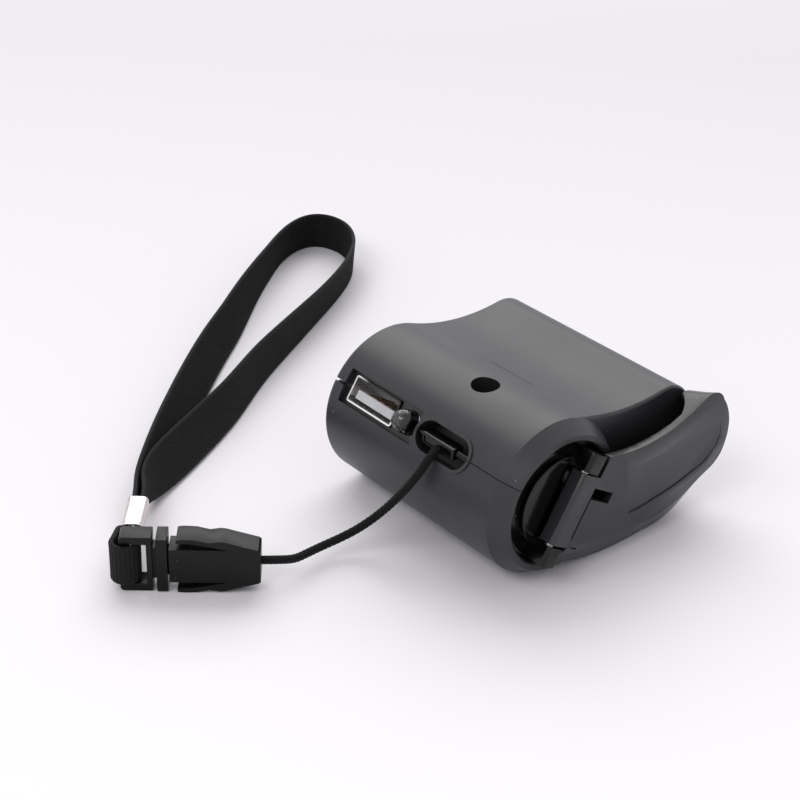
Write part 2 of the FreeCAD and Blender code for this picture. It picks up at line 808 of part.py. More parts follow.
def drive_gear():
    pitch = tooth_module * drive_teeth / 2
    wheel = gear(drive_teeth, drive_gear_x, drive_gear_width, mesh_angle())
    web = tube(pitch - 2.4, bush_radius + 1.0, drive_gear_x + drive_gear_width * 0.7,
               drive_gear_x + drive_gear_width + 1)
    wheel = wheel.cut(web)
    holes = []
    for i in range(5):
        y, z = polar((0.0, 0.0), pitch * 0.56, i * 72.0 + 20.0)
        holes.append(rod(1.7, drive_gear_x - 1, drive_gear_x + drive_gear_width + 1, y, z))
    hub = rod(bush_radius + 0.6, drive_gear_x - 0.8, drive_gear_x + drive_gear_width + 0.8)
    return wheel.cut(holes).fuse(hub).cut(rod(shaft_radius + 0.01, drive_gear_x - 3, inner_end))


def drive_shaft():
    return rod(shaft_radius, plate_x - 2.2, hub_rim_face - 0.35)


def shaft_bush(start, end, flange_start):
    flange = rod(bush_flange_radius, flange_start, flange_start + bush_flange)
    return rod(bush_radius, start, end).fuse(flange).cut(rod(shaft_radius + running_clearance, start - 3, end + 3))


def shaft_clip():
    start = plate_x - 1.6
    clip = tube(clip_radius, shaft_radius + 0.01, start, start + clip_thickness)
    return clip.cut(Part.makeBox(3, 1.8, 8, V(start - 1, -0.9, 0)))


def counter_turn():
    # Gap of the small gear faces the tooth of the drive gear
    return mesh_angle() + 180.0 + 180.0 / small_teeth


def compound_gear():
    small_start = wheel_x + wheel_width
    small_width = inner_end - 2.1 - small_start
    small = gear(small_teeth, small_start, small_width, counter_turn(), counter_y, counter_z)
    wheel = gear(wheel_teeth, wheel_x, wheel_width, 0.0, counter_y, counter_z)
    pitch = tooth_module * wheel_teeth / 2
    web = tube(pitch - 2.0, 4.2, wheel_x + wheel_width * 0.6, wheel_x + wheel_width + 1,
               counter_y, counter_z)
    wheel = wheel.cut(web)
    collar = rod(2.4, plate_x + plate_thickness + 0.3, wheel_x, counter_y, counter_z)
    solid = wheel.fuse([small, collar])
    return solid.cut(rod(counter_pin_radius + running_clearance, plate_x, body_length, counter_y, counter_z))


def counter_pin():
    return rod(counter_pin_radius, plate_x + 0.1, inner_end - 0.05, counter_y, counter_z)


def motor_pinion():
    start = plate_x + plate_thickness + 1.0
    pinion = gear(small_teeth, start, pinion_length, 180.0 / small_teeth, motor_y, motor_z)
    return pinion.cut(rod(rotor_shaft_radius + 0.01, start - 1, start + pinion_length + 1, motor_y, motor_z))


def gear_plate():
    plate = prism(section(wall + plate_clearance, plate_x), plate_thickness)
    start = plate_x - 1
    end = plate_x + plate_thickness + 1
    cuts = [rod(bush_radius + 0.02, start, end),
            rod(counter_pin_radius + 0.02, start, end, counter_y, counter_z),
            rod(2.6, start, end, motor_y, motor_z)]
    cuts += [rod(plate_screw_radius + 0.15, start, end, y, z) for y, z in plate_posts()]
    cuts += [rod(can_screw_radius + 0.1, start, end, motor_y, motor_z + d) for d in can_screw_drops()]
    room = pocket_half + pad_thickness + plate_clearance
    pocket = box(start, end, pocket_floor - pad_thickness - plate_clearance, lobe_radius, -room, room)
    cuts.append(turned(pocket, seam_angle))
    return plate.cut(cuts)


def plate_screws():
    screws = []
    for y, z in plate_posts():
        head = rod(plate_head_radius, plate_x - 1.0, plate_x, y, z)
        shank = rod(plate_screw_radius, plate_x - 0.2, plate_x + plate_thickness + 4.0, y, z)
        slot = box(plate_x - 1.5, plate_x - 0.6, y - 2, y + 2, z - 0.2, z + 0.2)
        screws.append(head.cut(slot).fuse(shank))
    return Part.makeCompound(screws)


def can_screw_drops():
    return (-can_screw_reach, can_screw_reach)


def generator_screws():
    screws = []
    front = plate_x + plate_thickness
    for d in can_screw_drops():
        head = rod(can_screw_radius * 1.7, front, front + 0.7, motor_y, motor_z + d)
        shank = rod(can_screw_radius, plate_x - can_skin, front + 0.1, motor_y, motor_z + d)
        screws.append(head.fuse(shank))
    return Part.makeCompound(screws)


def generator_can():
    can = rod(can_radius, can_back, can_front, motor_y, motor_z)
    can = can.cut(rod(can_radius - can_skin, can_back - 1, can_front - can_skin, motor_y, motor_z))
    can = can.cut(rod(2.0, can_front - 2, can_front + 1, motor_y, motor_z))
    can = can.cut([rod(can_screw_radius + 0.02, can_front - 2, can_front + 1, motor_y, motor_z + d)
                   for d in can_screw_drops()])
    bore = rotor_shaft_radius + running_clearance
    bearing_tube = tube(2.5, bore, can_front - 1.4, can_front + 0.6, motor_y, motor_z)
    return can.fuse(bearing_tube)


def generator_magnets():
    return tube(can_radius - can_skin - 0.02, magnet_bore, can_front - can_skin - 2.0 - rotor_length,
                can_front - can_skin - 1.2, motor_y, motor_z)


def generator_rotor():
    start = can_front - can_skin - 1.6 - rotor_length
    core = rod(rotor_radius, start, start + rotor_length, motor_y, motor_z)
    slots = []
    for i in range(3):
        y, z = polar((motor_y, motor_z), rotor_radius, i * 120.0 + 60.0)
        slots.append(rod(2.2, start - 1, start + rotor_length + 1, y, z))
    commutator = rod(2.4, start - 2.6, start, motor_y, motor_z)
    bore = rod(rotor_shaft_radius + 0.01, start - 5, can_front, motor_y, motor_z)
    return core.cut(slots).fuse(commutator).cut(bore)


def rotor_shaft():
    end = plate_x + plate_thickness + 1.2 + pinion_length
    return rod(rotor_shaft_radius, can_back - cap_thickness + 0.3, end, motor_y, motor_z)


def generator_cap():
    cap = rod(can_radius - 0.1, can_back - cap_thickness, can_back, motor_y, motor_z)
    collar = rod(can_radius - can_skin - 0.03, can_back - 0.2, can_back + 1.0, motor_y, motor_z)
    boss = rod(2.2, can_back - cap_thickness - 0.8, can_back, motor_y, motor_z)
    cap = cap.fuse([collar, boss])
    back = can_back - cap_thickness
    cap = cap.cut(rod(rotor_shaft_radius + running_clearance, back + 0.2, can_back + 3, motor_y, motor_z))
    return cap.cut([rod(1.0, back - 1, can_back + 2, y, z) for y, z in terminal_places()])


def terminal_places():
    return [(motor_y - terminal_offset, motor_z), (motor_y + terminal_offset, motor_z)]


def generator_terminals():
    tabs = []
    for y, z in terminal_places():
        tab = rod(0.97, can_back - cap_thickness, can_back + 0.8, y, z)
        tabs.append(tab.fuse(box(can_back - cap_thickness - 3.0, can_back - cap_thickness + 0.2,
                                 y - 0.9, y + 0.9, z - 0.2, z + 0.2)))
    return Part.makeCompound(tabs)


# The electronics are drawn with the socket facing +y, then turned to the seam

def board_top():
    return socket_height / 2 + board_gap


def circuit_board():
    low = board_top()
    board = box(board_start, board_end, board_inner, board_outer, low, low + board_thickness)
    return turned(board, seam_angle)


def socket_room(skin):
    half_x = socket_length / 2 - skin
    half_z = socket_height / 2 - skin
    return box(socket_x - half_x, socket_x + half_x, socket_mouth - socket_depth + skin,
               socket_mouth + (1 if skin else 0), -half_z, half_z)


def usb_shell():
    shell = socket_room(0.0)
    edges = [e for e in shell.Edges if e.BoundBox.YLength > socket_depth - 0.1]
    shell = shell.makeFillet(0.6, edges)
    shell = shell.cut(socket_room(socket_skin))
    windows = []
    for x in (socket_x - 3.6, socket_x + 3.6):
        windows.append(box(x - 1.0, x + 1.0, socket_mouth - 8.5, socket_mouth - 4.5,
                           -socket_height, -socket_height / 2 + socket_skin + 0.1))
    return turned(shell.cut(windows), seam_angle)


def usb_tongue():
    back = socket_mouth - socket_depth + socket_skin
    half_x = socket_length / 2 - socket_skin - 0.02
    half_z = socket_height / 2 - socket_skin - 0.02
    block = box(socket_x - half_x, socket_x + half_x, back + 0.02, back + 2.6, -half_z, half_z)
    low = tongue_offset - tongue_thickness / 2
    tongue = box(socket_x - tongue_width / 2, socket_x + tongue_width / 2, back + 1.0, socket_mouth - 0.9,
                 low, low + tongue_thickness)
    return turned(block.fuse(tongue), seam_angle)


def usb_contacts():
    back = socket_mouth - socket_depth + socket_skin + 2.62
    low = tongue_offset - tongue_thickness / 2
    strips = []
    for i in range(4):
        x = socket_x + (i - 1.5) * contact_pitch
        half = contact_width / 2
        strips.append(box(x - half, x + half, back, socket_mouth - 1.6, low - contact_thickness, low))
    return turned(Part.makeCompound(strips), seam_angle)


def led_lens():
    straight = lamp_tip - lamp_radius - lamp_base
    lens = Part.makeCylinder(lamp_radius, straight, V(lamp_x, lamp_base, 0), Y_AXIS)
    dome = Part.makeSphere(lamp_radius, V(lamp_x, lamp_base + straight, 0))
    flange = Part.makeCylinder(lamp_flange_radius, 1.0, V(lamp_x, lamp_base, 0), Y_AXIS)
    return turned(lens.fuse([dome, flange]).removeSplitter(), seam_angle)


def led_leads():
    top = board_top()
    leads = []
    for d in (-1.27, 1.27):
        x = lamp_x + d
        run = box(x - 0.25, x + 0.25, lamp_base - 3.0, lamp_base, -0.25, 0.25)
        foot = box(x - 0.25, x + 0.25, lamp_base - 3.0, lamp_base - 2.5, -0.25, top)
        leads.append(run.fuse(foot))
    return turned(Part.makeCompound(leads), seam_angle)


def on_board(shape):
    # Moves a part drawn standing on z = 0 downwards onto the board's upper face
    shape.translate(V(0, 0, board_top()))
    return turned(shape, seam_angle)


def capacitor():
    can = Part.makeCylinder(2.5, 6.5, V(22.4, -3.4, -6.5), Z_AXIS)
    top = [e for e in can.Edges if abs(e.BoundBox.ZMin + 6.5) < 0.01 and e.BoundBox.ZLength < 0.01]
    return on_board(can.makeFillet(0.4, top))


def regulator_chip():
    body = box(8.6, 13.6, -4.6, -0.8, -1.5, -0.15)
    legs = [box(9.0 + i * 1.27, 9.4 + i * 1.27, -5.4, 0.0, -0.4, 0) for i in range(4)]
    return on_board(body.fuse(legs))


def rectifier_diodes():
    diodes = [box(3.4, 7.6, y, y + 1.8, -1.9, 0) for y in (-8.4, -5.8, -3.2, -0.6)]
    return on_board(Part.makeCompound(diodes))


def storage_coil():
    core = Part.makeCylinder(2.9, 3.4, V(16.6, -5.2, -3.4), Z_AXIS)
    waist = Part.makeCylinder(4.0, 2.0, V(16.6, -5.2, -2.7), Z_AXIS).cut(
        Part.makeCylinder(2.4, 2.0, V(16.6, -5.2, -2.7), Z_AXIS))
    return on_board(core.cut(waist))


def generator_wires():
    # Two leads from the generator's terminals to the lower end of the board
    wires = []
    radius = 0.45
    x = can_back - cap_thickness - 1.8
    a = math.radians(seam_angle)
    reach = board_inner + 0.9
    down = board_top() + board_thickness + radius + 0.03
    y_end = reach * math.cos(a) - down * math.sin(a)
    z_end = reach * math.sin(a) + down * math.cos(a)
    for i, (y, z) in enumerate(terminal_places()):
        x_end = 7.0 + 3.0 * i
        side = z - 0.2 - radius - 0.02
        route = [V(x, y, side), V(x - 0.3, y - 4.0, side - 2.0)]
        if i:
            route.append(V(x - 0.9, y - 12.0, side - 4.2))
        route += [V(x_end + 1.6, y_end + 9.5, z_end - 3.4), V(x_end + 0.4, y_end + 4.2, z_end - 2.9),
                  V(x_end, y_end, z_end)]
        wires.append(smooth_tube(route, radius))
    return Part.makeCompound(wires)


def smooth_path(points):
    # Straight runs joined by tangent arcs as large as the shorter run allows
    edges = []
    radii = []
    cursor = points[0]
    for i in range(1, len(points) - 1):
        before = points[i] - points[i - 1]
        after = points[i + 1] - points[i]
        turn = before.getAngle(after)
        cut = 0.45 * min(before.Length, after.Length)
        radii.append(cut / math.tan(turn / 2))
        before.normalize()
        after.normalize()
        start = points[i] - before * cut
        end = points[i] + after * cut
        chord = (start + end) * 0.5
        towards = points[i] - chord
        depth = towards.Length
        towards.normalize()
        middle = chord + towards * (depth * math.cos(turn / 2) / (1 + math.cos(turn / 2)))
        edges.append(Part.LineSegment(cursor, start).toShape())
        edges.append(Part.Arc(start, middle, end).toShape())
        cursor = end
    edges.append(Part.LineSegment(cursor, points[-1]).toShape())
    return Part.Wire(edges), radii


def smooth_tube(points, radius):
    path, radii = smooth_path(points)
    heading = points[1] - points[0]
    ring = Part.Wire(Part.makeCircle(radius, points[0], heading))
    return path.makePipeShell([ring], True, False)


def lanyard_cord():
    solid = smooth_tube(cord_route, cord_diameter / 2)
    path, radii = smooth_path(cord_route)
    whole = math.pi * cord_diameter ** 2 / 4 * path.Length
    print("lanyard cord length", round(path.Length, 1), "volume ratio", round(solid.Volume / whole, 4))
    print("lanyard cord radii", [round(r, 1) for r in radii])
    return solid


# The buckle is drawn along +x with its width along z, then turned and set down

def buckle_place(shape):
    copy = shape.copy()
    copy.rotate(ORIGIN, Z_AXIS, buckle_turn)
    copy.translate(buckle_start)
    return copy


def flat_piece(points, thickness):
    # Closed outline in x and z, centred on y
    corners = [V(x, -thickness / 2, z) for x, z in points]
    return Part.Face(Part.makePolygon(corners + [corners[0]])).extrude(V(0, thickness, 0))


def mirrored_outline(half):
    return half + [(x, -z) for x, z in reversed(half)]


def buckle_plug():
    half = buckle_height / 2
    inside_half = half - buckle_frame
    outline = mirrored_outline([(0.0, half - 0.5), (0.5, half), (6.4, half)])
    frame = flat_piece(outline, buckle_thickness - 0.8)
    slot = box(bar_web, bar_web + tab_slot, -buckle_thickness, buckle_thickness, -inside_half, inside_half)
    relief = box(-1, bar_web + tab_slot, -buckle_thickness, buckle_thickness, -inside_half, inside_half)
    relief = relief.cut(box(-2, bar_web + tab_slot, -bar_web * 0.6, bar_web * 0.6, -half, half))
    flange = flat_piece(mirrored_outline([(7.2, half - 0.2), (9.4, half - 0.2)]), buckle_thickness)
    neck = flat_piece(mirrored_outline([(6.0, 3.6), (7.6, 3.6)]), 3.0)
    tongue = flat_piece(mirrored_outline([(9.0, 1.3), (23.6, 1.0)]), 2.0)
    prong = flat_piece(buckle_prong, prong_thickness)
    other = prong.mirror(ORIGIN, Z_AXIS)
    plug = frame.cut([slot, relief]).fuse([neck, flange, tongue, prong, other])
    return buckle_place(plug)


def buckle_socket():
    half = buckle_height / 2
    end = buckle_length
    outline = [(11.2, half - 0.2), (12.4, half), (15.0, half - 0.1), (17.5, half - 0.75),
               (19.6, half - 0.4), (20.6, half - 0.5), (end - 0.4, 3.9), (end, 3.5)]
    body = flat_piece(mirrored_outline(outline), buckle_thickness)
    body = body.fuse(flat_piece(mirrored_outline([(9.7, 3.85), (11.6, 3.85)]), buckle_thickness))
    room = prong_thickness / 2 + prong_clearance
    wide = box(9.0, 20.6, -room, room, -prong_room, prong_room)
    catch = box(16.4, 20.2, -room, room, -catch_room, catch_room)
    narrow = box(20.0, 24.2, -room, room, -tongue_room, tongue_room)
    window = flat_piece(buckle_window, 2 * buckle_thickness)
    hole = Part.makeCylinder(cord_diameter / 2 + 0.1, 6.0, V(end - 3.4, 0, 0), X_AXIS)
    return buckle_place(body.cut([wide, catch, narrow, window, window.mirror(ORIGIN, Z_AXIS), hole]))


def lanyard_place(shape):
    # Drawn along +x behind the buckle's bar
    copy = shape.copy()
    copy.rotate(ORIGIN, Z_AXIS, lanyard_turn)
    a = math.radians(buckle_turn)
    bar = V(bar_web / 2 * math.cos(a), bar_web / 2 * math.sin(a), 0)
    copy.translate(buckle_start + bar)
    return copy


def strap_tab():
    # Short fold of webbing round the buckle's bar, drawn in plan and stood on edge
    tall = buckle_height - 2 * buckle_frame - 0.4
    thick = 1.3
    inner = bar_web
    outer = inner + thick
    ring = Part.makeCylinder(outer, tall, V(0, 0, -tall / 2), Z_AXIS)
    low = -tall / 2
    end = crimp_start - 0.5
    wedge_points = [V(0.8, outer, low), V(end, 1.7, low), V(end, -1.7, low), V(0.8, -outer, low)]
    wedge = Part.Face(Part.makePolygon(wedge_points + [wedge_points[0]])).extrude(V(0, 0, tall))
    hole = Part.makeCylinder(inner, tall + 2, V(0, 0, -tall / 2 - 1), Z_AXIS)
    tab = ring.fuse(wedge).cut(hole)
    taper = [V(crimp_start - 4.5, -6, tall / 2 + 0.1), V(crimp_start, -6, crimp_height / 2 - 0.2),
             V(crimp_start, -6, tall), V(crimp_start - 4.5, -6, tall)]
    trim = Part.Face(Part.makePolygon(taper + [taper[0]])).extrude(V(0, 12, 0))
    tab = tab.cut([trim, trim.mirror(ORIGIN, Z_AXIS)])
    return lanyard_place(tab)


def strap_crimp():
    # Folded metal sleeve closed on the ends of the webbing
    half_w = crimp_width / 2
    half_h = crimp_height / 2
    start = crimp_start - 0.4
    outer = Part.makeBox(crimp_length, crimp_width, crimp_height, V(start, -half_w, -half_h))
    long_edges = [e for e in outer.Edges if abs(e.BoundBox.XLength - crimp_length) < 0.01]
    outer = outer.makeFillet(1.5, long_edges)
    skin = 0.5
    bore = Part.makeBox(crimp_length + 2, crimp_width - 2 * skin, crimp_height - 2 * skin,
                        V(start - 1, -half_w + skin, -half_h + skin))
    long_edges = [e for e in bore.Edges if abs(e.BoundBox.XLength - crimp_length - 2) < 0.01]
    bore = bore.makeFillet(1.0, long_edges)
    seam = Part.makeBox(crimp_length + 2, 0.25, 2.0, V(start - 1, -0.12, half_h - 1.2))
    sleeve = outer.cut(bore).cut(seam)
    return lanyard_place(sleeve)


def strap_section(i):
    # Leaning rectangle of webbing across the route, gathered and lifted towards the crimp
    near_end = min(i, len(strap_route) - 1 - i)
    gathered = near_end < len(strap_gather)
    width = strap_width * (strap_gather[near_end] if gathered else 1.0)
    lift = strap_lift[near_end] if gathered else 0.1
    x, y, lean = strap_route[i]
    before = strap_route[max(i - 1, 0)]
    after = strap_route[min(i + 1, len(strap_route) - 1)]
    along = V(after[0] - before[0], after[1] - before[1], 0)
    along.normalize()
    away = V(-along.y, along.x, 0)
    if i > len(strap_route) * 0.5:
        away = -away
    a = math.radians(lean)
    up = away * math.cos(a) + V(0, 0, math.sin(a))
    face = up.cross(along)
    low = V(x, y, lift + strap_thickness / 2 * abs(math.cos(a)))
    corners = []
    for u, t in ((0, -1), (width, -1), (width, 1), (0, 1)):
        corners.append(low + up * u + face * (t * strap_thickness / 2))
    return corners


def closed_face(corners):
    return Part.Face(Part.makePolygon(corners + [corners[0]]))


def wrist_strap():
    # Four ruled faces from each section to the next, closed by the two end sections
    sections = [strap_section(i) for i in range(len(strap_route))]
    faces = [closed_face(sections[0]), closed_face(sections[-1])]
    for here, after in zip(sections, sections[1:]):
        for k in range(4):
            first = Part.LineSegment(here[k - 1], here[k]).toShape()
            second = Part.LineSegment(after[k - 1], after[k]).toShape()
            faces.append(Part.makeRuledSurface(first, second))
    shell = Part.makeShell(faces)
    shell.sewShape()
    solid = Part.makeSolid(shell)
    if solid.Volume < 0:
        solid.reverse()
    length = 0.0
    for a, b in zip(strap_route, strap_route[1:]):
        length += math.hypot(b[0] - a[0], b[1] - a[1])
    print("wrist strap length", round(length, 1), "volume ratio",
          round(solid.Volume / (length * strap_width * strap_thickness), 3))
    return solid


def save(name, shape, moved=True):
    copy = shape.copy()
    if moved:
        copy.translate(home)
    solids = copy.Solids
    result = solids[0] if len(solids) == 1 else Part.makeCompound(solids)
    result.exportStep("parts/" + name + ".step")
    box_ = result.BoundBox
    print("%-20s solids %d valid %s vol %.1f  x %.1f..%.1f y %.1f..%.1f z %.2f..%.2f" % (
        name, len(solids), result.isValid(), result.Volume,
        box_.XMin, box_.XMax, box_.YMin, box_.YMax, box_.ZMin, box_.ZMax))


def main():
    os.makedirs("parts", exist_ok=True)
    whole = casing()
    region = lower_region()
    slab = seam_slab()
    save("upper_shell", upper_shell(whole, region, slab))
    save("lower_shell", lower_shell(whole, region, slab))
    save("shell_screws", shell_screws())
    save("lanyard_bar", lanyard_bar())
    save("crank_hub", crank_hub())
    save("hinge_pin", hinge_pin())
    save("crank_arm", crank_arm())
    save("crank_knob", crank_knob())
    save("knob_pin", knob_pin())
    save("drive_shaft", drive_shaft())
    save("front_bush", shaft_bush(inner_end - bush_flange, body_length, inner_end - bush_flange))
    save("rear_bush", shaft_bush(plate_x - 0.3, plate_x + plate_thickness + bush_flange,
                                 plate_x + plate_thickness))
    save("shaft_clip", shaft_clip())
    save("drive_gear", drive_gear())
    save("compound_gear", compound_gear())
    save("counter_pin", counter_pin())
    save("motor_pinion", motor_pinion())
    save("gear_plate", gear_plate())
    save("plate_screws", plate_screws())
    save("generator_can", generator_can())
    save("generator_magnets", generator_magnets())
    save("generator_rotor", generator_rotor())
    save("rotor_shaft", rotor_shaft())
    save("generator_cap", generator_cap())
    save("generator_screws", generator_screws())
    save("generator_terminals", generator_terminals())
    save("generator_wires", generator_wires())
    save("circuit_board", circuit_board())
    save("usb_shell", usb_shell())
    save("usb_tongue", usb_tongue())
    save("usb_contacts", usb_contacts())
    save("led_lens", led_lens())
    save("led_leads", led_leads())
    save("capacitor", capacitor())
    save("regulator_chip", regulator_chip())
    save("rectifier_diodes", rectifier_diodes())
    save("storage_coil", storage_coil())
    save("lanyard_cord", lanyard_cord(), moved=False)
    save("buckle_plug", buckle_plug(), moved=False)
    save("buckle_socket", buckle_socket(), moved=False)
    save("strap_tab", strap_tab(), moved=False)
    save("strap_crimp", strap_crimp(), moved=False)
    save("wrist_strap", wrist_strap(), moved=False)
    print("overall", round(overall_length, 2), "home", home)


main()
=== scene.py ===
import json
import math

import bmesh
import bpy
import numpy as np
from mathutils import Matrix, Vector

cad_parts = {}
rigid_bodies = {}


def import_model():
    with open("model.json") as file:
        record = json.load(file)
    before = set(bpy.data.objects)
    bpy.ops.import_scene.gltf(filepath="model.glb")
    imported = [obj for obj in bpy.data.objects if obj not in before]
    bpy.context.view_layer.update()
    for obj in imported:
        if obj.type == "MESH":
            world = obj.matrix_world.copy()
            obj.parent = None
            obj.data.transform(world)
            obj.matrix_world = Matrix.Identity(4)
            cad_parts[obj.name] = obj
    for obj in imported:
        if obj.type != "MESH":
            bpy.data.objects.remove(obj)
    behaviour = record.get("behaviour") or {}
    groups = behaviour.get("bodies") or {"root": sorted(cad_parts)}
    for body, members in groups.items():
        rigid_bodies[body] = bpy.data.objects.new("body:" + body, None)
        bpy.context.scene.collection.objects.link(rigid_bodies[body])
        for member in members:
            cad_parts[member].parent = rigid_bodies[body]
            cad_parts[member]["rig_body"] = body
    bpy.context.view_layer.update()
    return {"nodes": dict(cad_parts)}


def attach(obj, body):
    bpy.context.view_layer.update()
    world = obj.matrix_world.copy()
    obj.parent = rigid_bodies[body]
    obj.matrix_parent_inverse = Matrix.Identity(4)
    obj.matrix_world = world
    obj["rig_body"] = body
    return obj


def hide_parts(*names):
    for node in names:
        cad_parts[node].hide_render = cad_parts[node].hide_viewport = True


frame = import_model()
print("charger: CAD frame loaded")

mm = 0.001


# Camera: the view angle, roll and framing of the photograph, 800 by 800
cameraView = {
    "azimuth": 48.624,  # degrees from the -Y side towards +X
    "elevation": 30.46,
    "roll": 1.845,
    "distance": 393.49 * mm,
    "aim": (-26.39 * mm, -12.58 * mm, 16.0 * mm),
    "focal": 81.88,  # on a 36 mm sensor
}


def viewAxes(view):
    a, e, r = (math.radians(view[k]) for k in ("azimuth", "elevation", "roll"))
    back = Vector((math.sin(a) * math.cos(e), -math.cos(a) * math.cos(e), math.sin(e)))
    right = Vector((math.cos(a), math.sin(a), 0.0))
    up = back.cross(right)
    return right * math.cos(r) + up * math.sin(r), up * math.cos(r) - right * math.sin(r), back


def addCamera(view):
    right, up, back = viewAxes(view)
    data = bpy.data.cameras.new("photoCamera")
    data.lens = view["focal"]
    data.sensor_width = 36.0
    data.clip_start = 0.01
    data.clip_end = 20.0
    cam = bpy.data.objects.new("photoCamera", data)
    place = Vector(view["aim"]) + back * view["distance"]
    cam.matrix_world = Matrix((
        (right.x, up.x, back.x, place.x),
        (right.y, up.y, back.y, place.y),
        (right.z, up.z, back.z, place.z),
        (0, 0, 0, 1)))
    bpy.context.scene.collection.objects.link(cam)
    bpy.context.scene.camera = cam


addCamera(cameraView)


# Mesh helpers: every new piece is a numpy grid of points
def addMesh(name, verts, faces, uv=None, smooth=True):
    mesh = bpy.data.meshes.new(name)
    mesh.from_pydata(np.asarray(verts).tolist(), [], [list(map(int, f)) for f in faces])
    if uv is not None:
        layer = mesh.uv_layers.new(name="UVMap")
        layer.data.foreach_set("uv", np.asarray(uv, np.float32).ravel())
    mesh.polygons.foreach_set("use_smooth", np.full(len(mesh.polygons), smooth))
    mesh.validate()
    mesh.update()
    obj = bpy.data.objects.new(name, mesh)
    bpy.context.scene.collection.objects.link(obj)
    return obj


# A tube grid: grid[i, j] is ring i, point j round the ring; the ends are closed by fans
def tubeFromRings(name, grid, uvAlong=None, uvRound=None):
    n, m = grid.shape[:2]
    i, j = np.meshgrid(np.arange(n - 1), np.arange(m), indexing="ij")
    k = (j + 1) % m
    quads = np.stack([i * m + j, i * m + k, (i + 1) * m + k, (i + 1) * m + j], -1).reshape(-1, 4)
    verts = np.concatenate([grid.reshape(-1, 3), grid[:1].mean(1), grid[-1:].mean(1)])
    ring = np.arange(m)
    nextRing = (ring + 1) % m
    first = np.stack([nextRing, ring, np.full(m, n * m)], -1)
    last = np.stack([(n - 1) * m + ring, (n - 1) * m + nextRing, np.full(m, n * m + 1)], -1)
    faces = quads.tolist() + first.tolist() + last.tolist()
    s = np.linspace(0, 1, n) if uvAlong is None else uvAlong
    t = np.linspace(0, 1, m + 1) if uvRound is None else uvRound
    uvQuads = np.stack([
        np.stack([s[i], t[j]], -1), np.stack([s[i], t[j + 1]], -1),
        np.stack([s[i + 1], t[j + 1]], -1), np.stack([s[i + 1], t[j]], -1)], 2).reshape(-1, 2)
    uvFirst = np.stack([np.stack([np.full(m, s[0]), t[1:]], -1), np.stack([np.full(m, s[0]), t[:-1]], -1),
                        np.stack([np.full(m, s[0]), (t[1:] + t[:-1]) / 2], -1)], 1).reshape(-1, 2)
    uvLast = np.stack([np.stack([np.full(m, s[-1]), t[:-1]], -1), np.stack([np.full(m, s[-1]), t[1:]], -1),
                       np.stack([np.full(m, s[-1]), (t[1:] + t[:-1]) / 2], -1)], 1).reshape(-1, 2)
    obj = addMesh(name, verts, faces, np.concatenate([uvQuads, uvFirst, uvLast]))
    outwards(obj)
    return obj


def outwards(obj):
    bm = bmesh.new()
    bm.from_mesh(obj.data)
    bmesh.ops.recalc_face_normals(bm, faces=bm.faces)
    bm.to_mesh(obj.data)
    bm.free()
    obj.data.update()


# Smooth curve near given points: uniform cubic B-spline with its ends drawn to the end points
def smoothCurve(points, count):
    p = np.asarray(points, float)
    p = np.vstack([2 * p[0] - p[1], p, 2 * p[-1] - p[-2]])
    t = np.linspace(0, len(p) - 3, count)
    i = np.minimum(t.astype(int), len(p) - 4)
    f = (t - i)[:, None]
    return ((1 - f) ** 3 * p[i] + (3 * f ** 3 - 6 * f ** 2 + 4) * p[i + 1]
            + (-3 * f ** 3 + 3 * f ** 2 + 3 * f + 1) * p[i + 2] + f ** 3 * p[i + 3]) / 6


# The same curve with its samples spread evenly along its length; extra columns follow
def evenSpacing(points, step):
    length = np.r_[0, np.cumsum(np.linalg.norm(np.diff(points[:, :3], axis=0), axis=1))]
    count = max(int(length[-1] / step), 8)
    s = np.linspace(0, length[-1], count)
    return np.stack([np.interp(s, length, points[:, c]) for c in range(points.shape[1])], 1), s


# Unit frames along a path, carried from ring to ring so that they do not twist
def pathFrames(path, start=(0, 0, 1)):
    tangent = np.gradient(path, axis=0)
    tangent /= np.linalg.norm(tangent, axis=1)[:, None]
    side = np.zeros_like(path)
    u = np.cross(np.asarray(start, float), tangent[0])
    for i, t in enumerate(tangent):
        u = u - t * u.dot(t)
        u /= np.linalg.norm(u)
        side[i] = u
    return tangent, side, np.cross(tangent, side)


print("charger: helpers ready")


# Braided cord
cordLook = {
    "diameter": 1.8 * mm,
    "carriers": 6,  # strands laid each way round the cord
    "pitch": 6.4 * mm,  # length of one turn of a strand
    "relief": 0.17 * mm,
    "step": 0.11 * mm,
    "round": 40,
}

cordRoute = [
    (4.43, -28.75, 25.45),
    (4.43, -31.2, 24.5),
    (4.3, -32.7, 22.4),
    (3.2, -33.9, 19.6),
    (1.2, -35.1, 15.8),
    (-1.2, -36.8, 11.8),
    (-3.6, -39.0, 8.2),
    (-5.6, -41.6, 5.6),
    (-6.9, -44.8, 4.2),
    (-7.3, -48.6, 3.9),
    (-6.9, -52.6, 4.2),
    (-6.2, -56.8, 4.7),
    (-6.5, -60.9, 6.2),
    (-9.4, -65.0, 6.3),
]


def splinePoints(route):
    curve = bpy.data.curves.new("route", "CURVE")
    curve.dimensions = "3D"
    spline = curve.splines.new("NURBS")
    spline.points.add(len(route) - 1)
    for point, place in zip(spline.points, route):
        point.co = (*[c * mm for c in place], 1.0)
    spline.order_u = 3
    spline.use_endpoint_u = True
    spline.resolution_u = 16
    obj = bpy.data.objects.new("route", curve)
    bpy.context.scene.collection.objects.link(obj)
    bpy.context.view_layer.update()
    mesh = bpy.data.meshes.new_from_object(obj.evaluated_get(bpy.context.evaluated_depsgraph_get()))
    points = np.array([v.co[:] for v in mesh.vertices])
    bpy.data.objects.remove(obj)
    bpy.data.meshes.remove(mesh)
    return points


